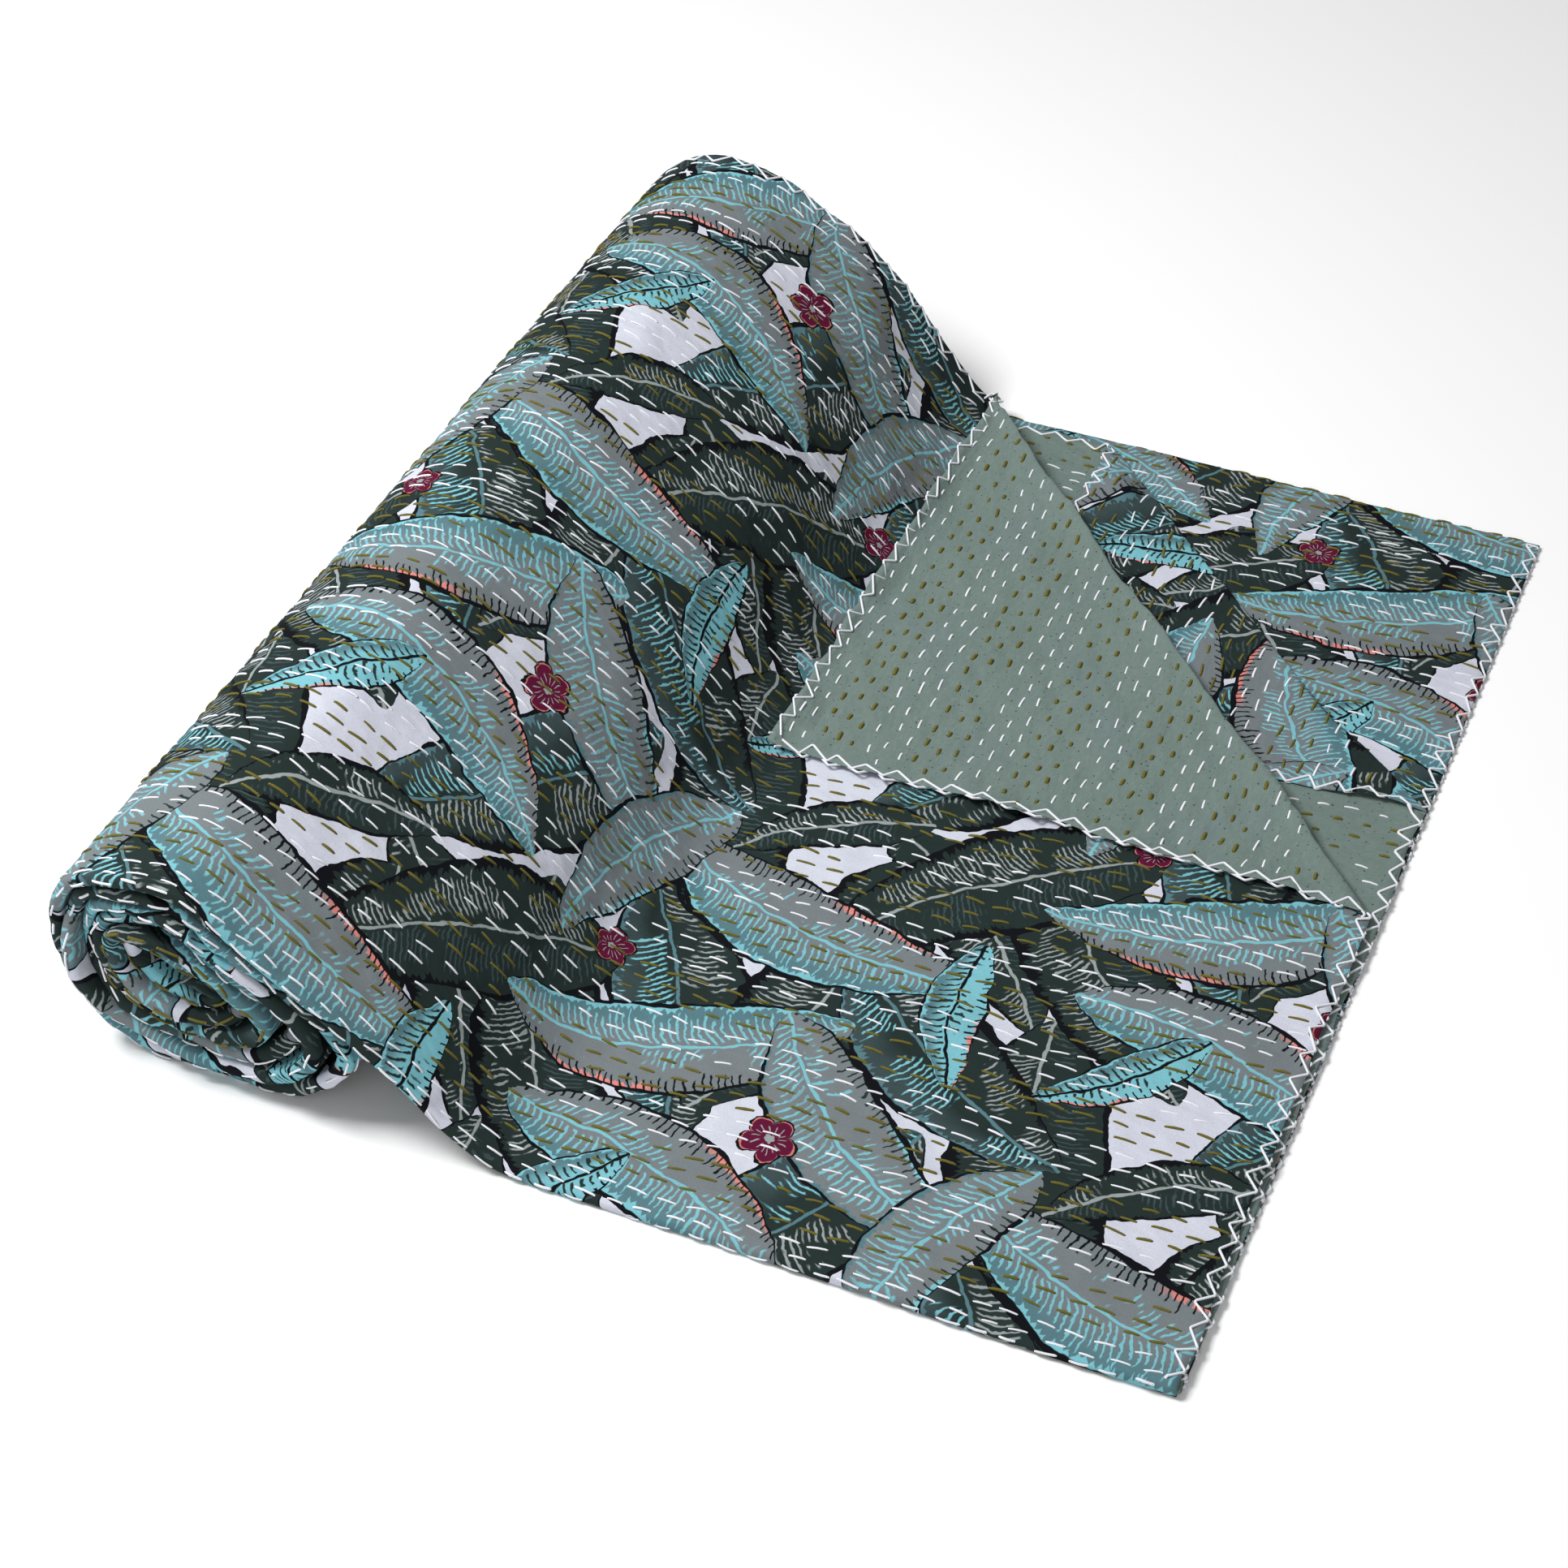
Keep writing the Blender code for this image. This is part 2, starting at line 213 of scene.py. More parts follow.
def turn_corner(s, v, w, leg, radius, edge, side, puff):
    """Bends what lies past a 45 degree crease back over the cloth, towards side."""
    from_edge = np.abs(v - edge)
    past = (leg - (LENGTH - s) - from_edge) / ROOT_2
    height = side * w
    puff = puff * (1.0 - smooth(0.0, PUFF_REACH, from_edge))
    bend = math.pi * radius
    angle = np.minimum(past, bend) / radius
    run = np.maximum(past - bend, 0.0)
    settle = (2 * radius + puff - PITCH) * (1.0 - np.exp(-run / CORNER_SETTLE))
    in_arc = past < bend
    new_past = np.where(in_arc, (radius - height) * np.sin(angle), -run)
    arc_height = radius - (radius - height) * np.cos(angle) + puff * (1.0 - np.cos(angle)) / 2
    new_height = np.where(in_arc, arc_height, 2 * radius + puff - height - settle)
    shift = (new_past - past) / ROOT_2
    outwards = -1.0 if edge == 0.0 else 1.0
    turned = past > 0.0
    return (
        np.where(turned, s + shift, s),
        np.where(turned, v + outwards * shift, v),
        np.where(turned, side * new_height, w),
    )


def strip_rows():
    """The strip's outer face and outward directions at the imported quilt's stations, eight numbers a row."""
    flat = [(-FLAT_REACH * step / FLAT_STEPS, STRIP) * 2 for step in range(FLAT_STEPS + 1)]
    lying = np.array(flat + list(SLOPE) + [OUTLINE[0]])
    run = np.gradient(lying, axis=0)
    rows = []
    for place, (near_x, near_z, far_x, far_z) in zip(lying[:-1], run):
        near = math.hypot(near_x, near_z)
        far = math.hypot(far_x, far_z)
        rows.append([*place, near_z / near, -near_x / near, far_z / far, -far_x / far])
    for row in rows[:FLAT_STEPS]:
        row[4:] = (0.0, 1.0, 0.0, 1.0)
    core = np.array(CORE)
    outline = np.array(OUTLINE)
    axis = np.array((math.cos(CORE_TILT), math.sin(CORE_TILT)) * 2)
    for index in range(int(RAYS * TURNS_TO_CORE)):
        ray = index % RAYS
        angle = FIRST_RAY + 2.0 * math.pi * ray / RAYS
        start = core + axis * (CORE_HALF_LENGTH * math.cos(angle - CORE_TILT))
        whole = (outline[ray] - start) / (1.0 - ray / RAYS / TURNS_TO_CORE)
        place = start + whole * (1.0 - index / RAYS / TURNS_TO_CORE)
        near = whole[:2] / np.linalg.norm(whole[:2])
        far = whole[2:] / np.linalg.norm(whole[2:])
        rows.append([*place, *near, *far])
    return np.array(rows)


OPEN_ROWS = len(SLOPE) + FLAT_STEPS + 1
FINE = 8  # stations are made this many times finer


def finer(rows):
    """A smooth curve through the rows, with FINE steps between each two."""
    index = np.arange((len(rows) - 1) * FINE + 1) / FINE
    base = np.minimum(index.astype(int), len(rows) - 2)
    t = (index - base)[:, None]
    padded = np.concatenate([2 * rows[:1] - rows[1:2], rows, 2 * rows[-1:] - rows[-2:-1]])
    a, b, c, d = (padded[base + k] for k in range(4))
    curve = b + 0.5 * t * (c - a + t * (2 * a - 5 * b + 4 * c - d + t * (3 * (b - c) + d - a)))
    curve[:, 1] = np.maximum(curve[:, 1], 0.0)
    curve[:, 3] = np.maximum(curve[:, 3], 0.0)
    return index, curve


ROW_INDEX, ROWS = finer(strip_rows())
MIDDLES = ROWS[:, :4] - ROWS[:, 4:] * (STRIP / 2)
_steps = np.hypot(*np.diff(MIDDLES, axis=0).reshape(-1, 2, 2).transpose(2, 0, 1)).mean(axis=1)
DISTANCE = np.concatenate([[0.0], np.cumsum(_steps)])


def roll_up(q, y, h):
    """Carries points of the flat strip, q from its loose end, to their places in the roll."""
    near_x, near_z, far_x, far_z, near_u, near_w, far_u, far_w = (
        np.interp(q, DISTANCE, column) for column in ROWS.T
    )
    across = y / FOLDED_WIDTH
    depth = TOP_LEVEL + CLOTH / 2 - h
    x = near_x + (far_x - near_x) * across - depth * (near_u + (far_u - near_u) * across)
    z = near_z + (far_z - near_z) * across - depth * (near_w + (far_w - near_w) * across)
    turned = np.maximum(np.interp(q, DISTANCE, ROW_INDEX) - OPEN_ROWS, 0.0) / RAYS
    skew = ROLL_SKEW * np.sin(2.0 * math.pi * SKEW_WAVES * turned)
    return np.stack([x, y + skew, z], axis=-1)


# ---------------------------------------------------------------- what the cloth does within the folds
# Fields of waves: each has a seed of its own, and then its wavelengths.
SOFT_WAVES = (11, 0.145, 0.085)
LOOSE_WAVES = (12, 0.11)
CRUMPLE_WAVES = (13, 0.075, 0.16)
WANDER_WAVES = (14, 0.21)
CREASE_WAVES = (15, 0.023, 0.014)
RUFFLE_WAVES = (16, 0.026, 0.017)
TURN_WAVES = (17, 0.05)
FINE_WAVES = (18, 0.036, 0.024)
ROW_WAVES = (21, 0.24, 0.10)
RIPPLE_WAVES = (31, 0.05)
CUT_WAVES = ((32, 0.07, 0.035), (33, 0.07, 0.035))

WAVE_HEIGHT = 0.0011  # soft waves of the whole stack
WAVE_REST = 0.35  # the stack lies higher than when pressed, by this share of them
FINE_WAVE_HEIGHT = 0.0005
FLAT_END = 0.03  # the waves rise over this much of the loose end
ROLLED_WAVES = 0.3  # share of them that is left in the roll
NEAR_LOOSE = 0.32  # the layers stand this much further apart at the near fold
NEAR_LOOSE_REACH = 0.022
NEAR_LOOSE_UNEVEN = 0.5
EDGE_WANDER = 0.0014  # the near side is this uneven
END_CRUMPLE = 0.0038  # and the turns stand in and out of the roll's near end by this much
END_REACH = 0.06
TURN_FILL = 0.93  # a turn's layers fill this share of the room up to the next turn
MOST_ROOM = 1.75  # but lie no looser than this
ROOM_SMOOTHING = 9  # stations
TURN_UNEVEN = 0.06
WRINKLE = 0.0011  # creases across the folded edge, where the turns are tight
RUFFLE = 0.6 * WRINKLE


def room_of_turns():
    """How many times thicker than when pressed flat the strip lies at each station, up to the next turn."""
    inner = np.minimum(np.arange(len(ROWS)) + RAYS * FINE, len(ROWS) - 1)
    gap = np.hypot(*(ROWS[inner, :2] - ROWS[:, :2]).T)
    last = len(ROWS) - RAYS * FINE
    gap[last:] = gap[last - 1]
    room = np.clip(TURN_FILL * gap / STRIP, 1.0, MOST_ROOM)
    kernel = np.ones(ROOM_SMOOTHING) / ROOM_SMOOTHING
    return np.convolve(np.pad(room, ROOM_SMOOTHING // 2, mode="edge"), kernel, mode="valid")


ROOM = room_of_turns()
ROLL_FROM = DISTANCE[OPEN_ROWS * FINE]
ROLL_RISE = (ROLL_FROM - 0.01, ROLL_FROM + 0.09)  # where what the roll does to the strip sets in
CRUMPLE_RISE = (ROLL_FROM + 0.05, ROLL_FROM + 0.35)


def settle(q, y, h):
    """Soft waves, a looser near fold, turns that fill the roll, and their uneven, wrinkled ends."""
    level = TOP_LEVEL + CLOTH / 2
    along = 0.0 * q
    from_near = np.maximum(y, 0.0)
    near = np.exp(-from_near / NEAR_LOOSE_REACH)
    in_roll = smooth(*ROLL_RISE, q)
    lift = WAVE_HEIGHT * (WAVE_REST + waves(q, y, *SOFT_WAVES))
    lift = (lift + FINE_WAVE_HEIGHT * waves(q, y, *FINE_WAVES)) * smooth(0.0, FLAT_END, q)
    loose = 1.0 + NEAR_LOOSE * near * (1.0 + NEAR_LOOSE_UNEVEN * waves(q, along, *LOOSE_WAVES))
    lying = h * loose * (1.0 + lift / STRIP)
    room = np.interp(q, DISTANCE, ROOM) * (1.0 + TURN_UNEVEN * near * waves(q, along, *TURN_WAVES))
    ruffle = RUFFLE * near * waves(q, y, *RUFFLE_WAVES) * np.clip(h / level, 0.0, 1.0)
    rolled = level - (level - h) * room + ruffle + ROLLED_WAVES * lift * h / level
    wander = EDGE_WANDER * waves(q, along, *WANDER_WAVES)
    crumple = in_roll * smooth(*CRUMPLE_RISE, q) * END_CRUMPLE * waves(q, along, *CRUMPLE_WAVES)
    creases = in_roll * near * WRINKLE * waves(q, along, *CREASE_WAVES)
    y = y + (wander + crumple) * np.exp(-from_near / END_REACH) + creases
    return y, lying + (rolled - lying) * in_roll


CURL = 0.0042  # the turned corners' free edges stand up this far
CURL_REACH = 0.011
TOP_CURL = 0.55  # share of it for the top layer's corner
CORNER_EASE = 0.030  # curls and puffs begin over this much past a crease
INNER_EASE = 0.025
OPENING_EASE = (0.004, 0.030)  # and on the inner corner, past the top layer's crease
END_LIFT = 0.0022
END_LIFT_REACH = 0.010
CREASE_PUFF = 0.0060  # the top corner stands up along its crease
CREASE_REACH = 0.016
CREASE_END_EASE = 0.08
FAR_PUFF = 0.7  # by this much more at the far side
FAR_PUFF_REACH = 0.12
CUT_WANDER = 0.0014  # cut edges are this uneven
CUT_REACH = 0.02
HUMP = 0.0065  # a rumple in the inner layer's turned corner, near its long edge
HUMP_PLACE = (0.224, 0.021)
HUMP_REACH = (0.016, 0.012)
DRAG = 0.014  # the crease of that corner is pulled this far askew at the loose end
DRAG_PLACE = (0.0, FOLDED_WIDTH - FREE_EDGE_INSET_INNER - INNER_CORNER_LEG)
DRAG_REACH = (0.090, 0.070)


def bump(x, y, place, reach):
    """A smooth mound of height 1."""
    return np.exp(-(((x - place[0]) / reach[0]) ** 2) - ((y - place[1]) / reach[1]) ** 2)


def loose_edges(flat_s, flat_v, q, y, h):
    """Free edges stand up and wander a little, and the inner layer's corner lies askew and rumpled."""
    on_top = flat_v < STARTS[NEAR_FOLD]
    on_inner = flat_v >= STARTS[INNER]
    end = LENGTH - flat_s
    edge = np.where(on_top, flat_v, WIDTH - flat_v)
    from_cut = np.minimum(end, edge)
    ripple = 0.55 + 0.45 * waves(flat_s, flat_v, *RIPPLE_WAVES)
    curl = CURL * np.exp(-from_cut / CURL_REACH) * ripple

    opening = (TOP_CORNER_LEG - q - (FOLDED_WIDTH - y)) / ROOT_2
    turned = smooth(0.0, INNER_EASE, INNER_CORNER_LEG - end - edge) * smooth(*OPENING_EASE, opening)
    inner_rise = turned * (curl + HUMP * bump(end, edge, HUMP_PLACE, HUMP_REACH))

    past_crease = TOP_CORNER_LEG - end - edge
    ridge = np.exp(-np.abs(past_crease) / ROOT_2 / CREASE_REACH) * (0.7 + 0.3 * ripple)
    ridge = ridge * smooth(0.0, CORNER_EASE, edge) * smooth(0.0, CREASE_END_EASE, end)
    ridge = ridge * (1.0 + FAR_PUFF * np.exp(-edge / FAR_PUFF_REACH))
    top_rise = smooth(0.0, CORNER_EASE, past_crease) * curl * TOP_CURL + CREASE_PUFF * ridge
    top_rise = top_rise + END_LIFT * ripple * np.exp(-end / END_LIFT_REACH)
    h = h + np.where(on_inner, inner_rise, 0.0) + np.where(on_top, top_rise, 0.0)

    drag = np.where(on_inner, DRAG * bump(q, y, DRAG_PLACE, DRAG_REACH), 0.0)
    ragged = CUT_WANDER * np.exp(-from_cut / CUT_REACH) * (on_top | on_inner)
    along, across = (ragged * waves(flat_s, flat_v, *field) for field in CUT_WAVES)
    return q + along, y + drag + across, h


def carry(s, v, w):
    """Carries points of the flat cloth through every fold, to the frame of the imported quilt."""
    s, v, w = (np.asarray(a, float) for a in np.broadcast_arrays(s, v, w))
    on_top = v < STARTS[NEAR_FOLD]
    on_inner = v >= STARTS[INNER]
    flat_s, flat_v = s, v
    top = turn_corner(s, v, w, TOP_CORNER_LEG, TOP_CORNER_RADIUS, 0.0, FACE, PUFF)
    inner = turn_corner(s, v, w, INNER_CORNER_LEG, INNER_CORNER_RADIUS, WIDTH, BACK, 0.0)
    s, v, w = (np.where(on_top, a, np.where(on_inner, b, c)) for a, b, c in zip(top, inner, (s, v, w)))
    y, h = fold_in_four(v, w)
    q = LENGTH - s
    lifted = PITCH * smooth(LIFT_FROM, LIFT_FULL, y) * (1.0 - smooth(FLAT_REACH, LIFT_REACH, q))
    h = h + np.where(on_top, lifted, 0.0)
    q = q + np.interp(flat_v / WIDTH, *END_INSETS) * np.maximum(1.0 - q / FLAT_REACH, 0.0)
    q, y, h = loose_edges(flat_s, flat_v, q, y, h)
    y, h = settle(q, y, h)
    place = roll_up(q, y, h)
    place[..., 2] = np.maximum(place[..., 2], 0.0)
    return place + NEAR_SIDE


# ---------------------------------------------------------------- rows of running stitch
ROW_GAP = 0.0093
STITCH_PITCH = 0.0158
PINCH = 0.00022  # a row of stitches presses the cloth this much thinner
ROW_WANDER = 0.0019
STRAIGHT_EDGE = 0.02  # rows wander less this near to a cut edge


def row_at(s, v):
    """Where a row that is drawn straight at v lies on the cloth."""
    inside = np.clip(np.minimum(v, WIDTH - v) / STRAIGHT_EDGE, 0.0, 1.0)
    return v + ROW_WANDER * inside * waves(s, v, *ROW_WAVES)


def surface(v, side, lift=0.0):
    """Height w of the face or the back of the flat cloth, thinner at the rows."""
    pinch = PINCH * (0.5 + 0.5 * np.cos(2.0 * math.pi * v / ROW_GAP))
    return side * (CLOTH / 2 - pinch + lift)


# ---------------------------------------------------------------- settings that a user would change
class QuiltClothSettings(bpy.types.PropertyGroup):
    """The two cottons."""

    ground: FloatVectorProperty(
        name="Ground", description="The print's pale ground", subtype="COLOR", default=(0.597, 0.617, 0.701)
    )
    sage: FloatVectorProperty(
        name="Sage", description="The plain cotton back", subtype="COLOR", default=(0.149, 0.198, 0.181)
    )
    grid: FloatProperty(
        name="Grid",
        description="Spacing of the cloth's points where it shows",
        default=0.0046,
        unit="LENGTH",
    )


class QuiltStitchSettings(bpy.types.PropertyGroup):
    """The hand sewing."""

    length: FloatProperty(
        name="Stitch", description="A stitch's length on the printed face", default=0.0101, unit="LENGTH"
    )
    back_length: FloatProperty(
        name="Back stitch", description="A stitch's length on the sage back", default=0.0058, unit="LENGTH"
    )
    white_radius: FloatProperty(
        name="White thread", description="The white thread's radius", default=0.00070, unit="LENGTH"
    )
    olive_radius: FloatProperty(
        name="Olive thread", description="The olive thread's radius", default=0.00086, unit="LENGTH"
    )
    white: FloatVectorProperty(
        name="White", description="Colour of the white thread", subtype="COLOR", default=(0.95, 0.95, 0.97)
    )
    olive: FloatVectorProperty(
        name="Olive",
        description="Colour of the olive thread",
        subtype="COLOR",
        default=(0.200, 0.178, 0.030),
    )
    zigzag_pitch: FloatProperty(
        name="Zigzag", description="Length of one zigzag over an edge", default=0.0170, unit="LENGTH"
    )
    zigzag_depth: FloatProperty(
        name="Depth",
        description="How far the zigzag reaches in from the edge",
        default=0.0066,
        unit="LENGTH",
    )
    seed: IntProperty(name="Seed", description="Changes every random stitch", default=7)


class QuiltStageSettings(bpy.types.PropertyGroup):
    """Floor, light and camera."""

    floor_half: FloatProperty(
        name="Floor", description="Half the floor's side", default=6.0, unit="LENGTH"
    )
    key_power: FloatProperty(
        name="Key", description="Power of the large lamp overhead", default=51.0, unit="POWER"
    )
    fill_power: FloatProperty(
        name="Fill", description="Power of the lamp at the camera's side", default=11.5, unit="POWER"
    )


# ---------------------------------------------------------------- node trees as expressions
def arithmetic(operation, swapped=False):
    """One of Python's operators between a wire and a value, as a Math node."""

    def method(self, value):
        pair = (value, self) if swapped else (self, value)
        return Nodes(self.tree).math(operation, *pair)

    return method


class Wire:
    """A node's output, with Python's arithmetic."""

    def __init__(self, tree, socket):
        self.tree = tree
        self.socket = socket

    __add__ = arithmetic("ADD")
    __radd__ = arithmetic("ADD", swapped=True)
    __sub__ = arithmetic("SUBTRACT")
    __rsub__ = arithmetic("SUBTRACT", swapped=True)
    __mul__ = arithmetic("MULTIPLY")
    __truediv__ = arithmetic("DIVIDE")
    __pow__ = arithmetic("POWER")
    __mod__ = arithmetic("MODULO")
    __gt__ = arithmetic("GREATER_THAN")
    at_least = arithmetic("MAXIMUM")
    at_most = arithmetic("MINIMUM")

    def math(self, operation, *values):
        """A Math node with this wire first."""
        return Nodes(self.tree).math(operation, self, *values)

    def __abs__(self):
        return self.math("ABSOLUTE")

    def step(self, low, high):
        """0 at low, 1 at high, softly between."""
        values = {"Value": self, "From Min": low, "From Max": high}
        return Nodes(self.tree).add("ShaderNodeMapRange", values, {"interpolation_type": "SMOOTHSTEP"})


class Nodes:
    """Adds nodes to a tree. A value may be a wire, which comes in as a link."""

    def __init__(self, tree):
        self.tree = tree

    def add(self, kind, values=None, settings=None, output=None):
        """One node with its sockets' values and its settings. Gives one output as a wire."""
        node = self.tree.nodes.new(kind)
        for name, value in (settings or {}).items():
            setattr(node, name, value)
        for name, value in (values or {}).items():
            socket = node.inputs[name]
            if isinstance(value, Wire):
                self.tree.links.new(value.socket, socket)
            elif socket.type == "RGBA":
                socket.default_value = (*value[:3], 1.0)
            else:
                socket.default_value = value
        if output is None:
            output = next(i for i, o in enumerate(node.outputs) if o.enabled)
        return Wire(self.tree, node.outputs[output])

    def geometry(self, kind, values=None, settings=None, output=None):
        """A Geometry Nodes node."""
        return self.add("GeometryNode" + kind, values, settings, output)

    def math(self, operation, *values):
        """A Math node."""
        return self.add("ShaderNodeMath", dict(enumerate(values)), {"operation": operation})

    def vector(self, operation, *values):
        """A Vector Math node."""
        output = 1 if operation == "DOT_PRODUCT" else 0
        return self.add("ShaderNodeVectorMath", dict(enumerate(values)), {"operation": operation}, output)

    def scaled(self, vector, by):
        """A vector times a number."""
        return self.add("ShaderNodeVectorMath", {0: vector, "Scale": by}, {"operation": "SCALE"})

    def split(self, vector):
        """A vector's three numbers."""
        return self.outputs(self.add("ShaderNodeSeparateXYZ", {0: vector}))

    def join(self, x, y, z):
        """Three numbers as a vector."""
        return self.add("ShaderNodeCombineXYZ", {0: x, 1: y, 2: z})

    def outputs(self, wire):
        """All the outputs of the node that a wire comes from."""
        return [Wire(self.tree, o) for o in wire.socket.node.outputs]

    def mix_vectors(self, under, over, mask):
        """Vector over vector."""
        return self.add("ShaderNodeMix", {0: mask, 4: under, 5: over}, {"data_type": "VECTOR"}, 1)

    def mix(self, under, over, mask):
        """Colour over colour."""
        settings = {"data_type": "RGBA", "clamp_factor": True}
        return self.add("ShaderNodeMix", {0: mask, 6: under, 7: over}, settings, 2)

    def noise(self, place, scale, detail=2.0, roughness=0.5, output="Fac"):
        """Smooth noise, 0 to 1."""
        values = {"Vector": place, "Scale": scale, "Detail": detail, "Roughness": roughness}
        return self.add("ShaderNodeTexNoise", values, {"noise_dimensions": "3D"}, output)

    def picked(self, place, stops):
        """Plain steps of colour, each (position, colour with its own number), as two wires."""
        picked = self.add("ShaderNodeValToRGB", {0: place})
        ramp = picked.socket.node.color_ramp
        ramp.interpolation = "CONSTANT"
        while len(ramp.elements) < len(stops):
            ramp.elements.new(0.5)
        for element, (position, colour) in zip(ramp.elements, stops):
            element.position = position
            element.color = colour
        return self.outputs(picked)


NUMBER, WHOLE, VECTOR = "NodeSocketFloat", "NodeSocketInt", "NodeSocketVector"
COLOUR, GEOMETRY, MATERIAL = "NodeSocketColor", "NodeSocketGeometry", "NodeSocketMaterial"


def group_tree(name, inputs, outputs, kind="ShaderNodeTree"):
    """A node group with sockets, given as (type, *names): its expression helper, inputs and output node."""
    tree = bpy.data.node_groups.new(name, kind)
    for rows, way in ((inputs, "INPUT"), (outputs, "OUTPUT")):
        for socket, *labels in rows:
            for label in labels:
                tree.interface.new_socket(label, in_out=way, socket_type=socket)
    start = tree.nodes.new("NodeGroupInput")
    given = {socket.name: Wire(tree, socket) for socket in start.outputs if socket.name}
    return Nodes(tree), given, tree.nodes.new("NodeGroupOutput")


def finish_group(nodes, end, **results):
    """Links a group's results to its output sockets and gives its tree."""
    for label, wire in results.items():
        nodes.tree.links.new(wire.socket, end.inputs[label])
    return nodes.tree


SHINE = 0.06  # cotton hardly shines
SHEEN_ROUGHNESS = 0.5


def new_material(name, roughness, sheen=0.0):
    """A material with its shader, and the tree's expression helper."""
    material = bpy.data.materials.new(name)
    material.use_nodes = True
    shader = material.node_tree.nodes["Principled BSDF"]
    shader.inputs["Roughness"].default_value = roughness
    shader.inputs["Specular IOR Level"].default_value = SHINE
    shader.inputs["Sheen Weight"].default_value = sheen
    shader.inputs["Sheen Roughness"].default_value = SHEEN_ROUGHNESS
    return material, shader, Nodes(material.node_tree)


def paint(nodes, shader, colour, height, strength, distance):
    """Gives a shader its colour and its fine relief."""
    relief = nodes.add("ShaderNodeBump", {"Strength": strength, "Distance": distance, "Height": height})
    nodes.tree.links.new(colour.socket, shader.inputs["Base Color"])
    nodes.tree.links.new(relief.socket, shader.inputs["Normal"])


UV_METRES = 3.0  # the flat cloth's map spans this much in each direction


def cloth_place(nodes):
    """The place on the flat cloth, in metres."""
    return nodes.scaled(nodes.add("ShaderNodeUVMap", None, {"uv_map": "flat_cloth"}), UV_METRES)


# ---------------------------------------------------------------- the leaf print
REPEAT_ALONG = 0.240
REPEAT_ACROSS = 0.360
DROP = REPEAT_ACROSS / 2

GREY = (0.172, 0.196, 0.206)
TEAL = (0.090, 0.186, 0.214)
AQUA = (0.190, 0.480, 0.545)
DARK = (0.018, 0.030, 0.028)
SLATE = (0.045, 0.070, 0.074)
INK = (0.005, 0.006, 0.008)
PALE = (0.290, 0.325, 0.325)
CORAL = (0.680, 0.230, 0.200)
WINE = (0.107, 0.007, 0.033)
GROUND_SHADE = (0.50, 0.52, 0.60)
BLACK = (0.0, 0.0, 0.0)


def repeat_axes(turn):
    """How far one repeat along and one across go, along and across a motif that is turned by this angle."""
    cosine, sine = math.cos(turn), math.sin(turn)
    along = (cosine * REPEAT_ALONG + sine * DROP, sine * REPEAT_ACROSS, 0.0)
    across = (cosine * DROP - sine * REPEAT_ALONG, cosine * REPEAT_ACROSS, 0.0)
    return along, across


def repeat_cell(along, across):
    """A place in the half-drop repeat, counted in repeats."""
    return along / REPEAT_ALONG, across / REPEAT_ACROSS - along / REPEAT_ALONG * 0.5


def motif_axes(nodes, given):
    """Position along and across the nearest copy of a motif, in metres."""
    away = nodes.vector("SUBTRACT", given["Cell"], given["Centre"])
    nearest = nodes.vector("WRAP", away, (0.5, 0.5, 0.5), (-0.5, -0.5, -0.5))
    return (nodes.vector("DOT_PRODUCT", nearest, given[axis]) for axis in ("Along", "Across"))


LEAF_FULLNESS = 0.72  # less makes a leaf's ends blunter
LEAF_TAPER = 0.42  # a leaf is this much narrower from its foot to its tip


def leaf_group():
    """Lays one plain pointed leaf over others: where in it a point is, with its reach, and its number."""
    inputs = (
        (VECTOR, "Laid", "Cell", "Centre", "Along", "Across"),
        (NUMBER, "Leaf", "Length", "Half Width", "Bend", "Brush", "Number"),
    )
    nodes, given, end = group_tree("laid_leaf", inputs, ((VECTOR, "Laid"), (NUMBER, "Leaf")))
    along, across = motif_axes(nodes, given)
    share = along / given["Length"]
    arch = (1.0 - share * share * 4.0).at_least(0.0)
    across = across - arch * given["Bend"]
    reach = arch ** LEAF_FULLNESS * (1.01 - share * LEAF_TAPER) * given["Half Width"]
    over = reach * given["Brush"] > abs(across)
    laid = nodes.mix_vectors(given["Laid"], nodes.join(along, across, reach), over)
    leaf = given["Leaf"] + (given["Number"] - given["Leaf"]) * over
    return finish_group(nodes, end, Laid=laid, Leaf=leaf)


PETALS = 5
PETAL_DEPTH = 0.42  # the blossom is this much narrower between its petals
ROUGH_EDGE = 0.0025
OUTLINE_INK = (-0.0014, -0.0009)  # the ink line's soft outer edge, in metres out from the petals
PETAL_EDGE = (0.0, 0.0005)
RAY_WIDTH = (0.93, 0.98)
RAY_FROM = (0.30, 0.4)  # these are shares of the blossom's reach
RAY_TO = (0.6, 0.7)
HEART = (0.17, 0.21)
TIPS = (0.92, 0.96)


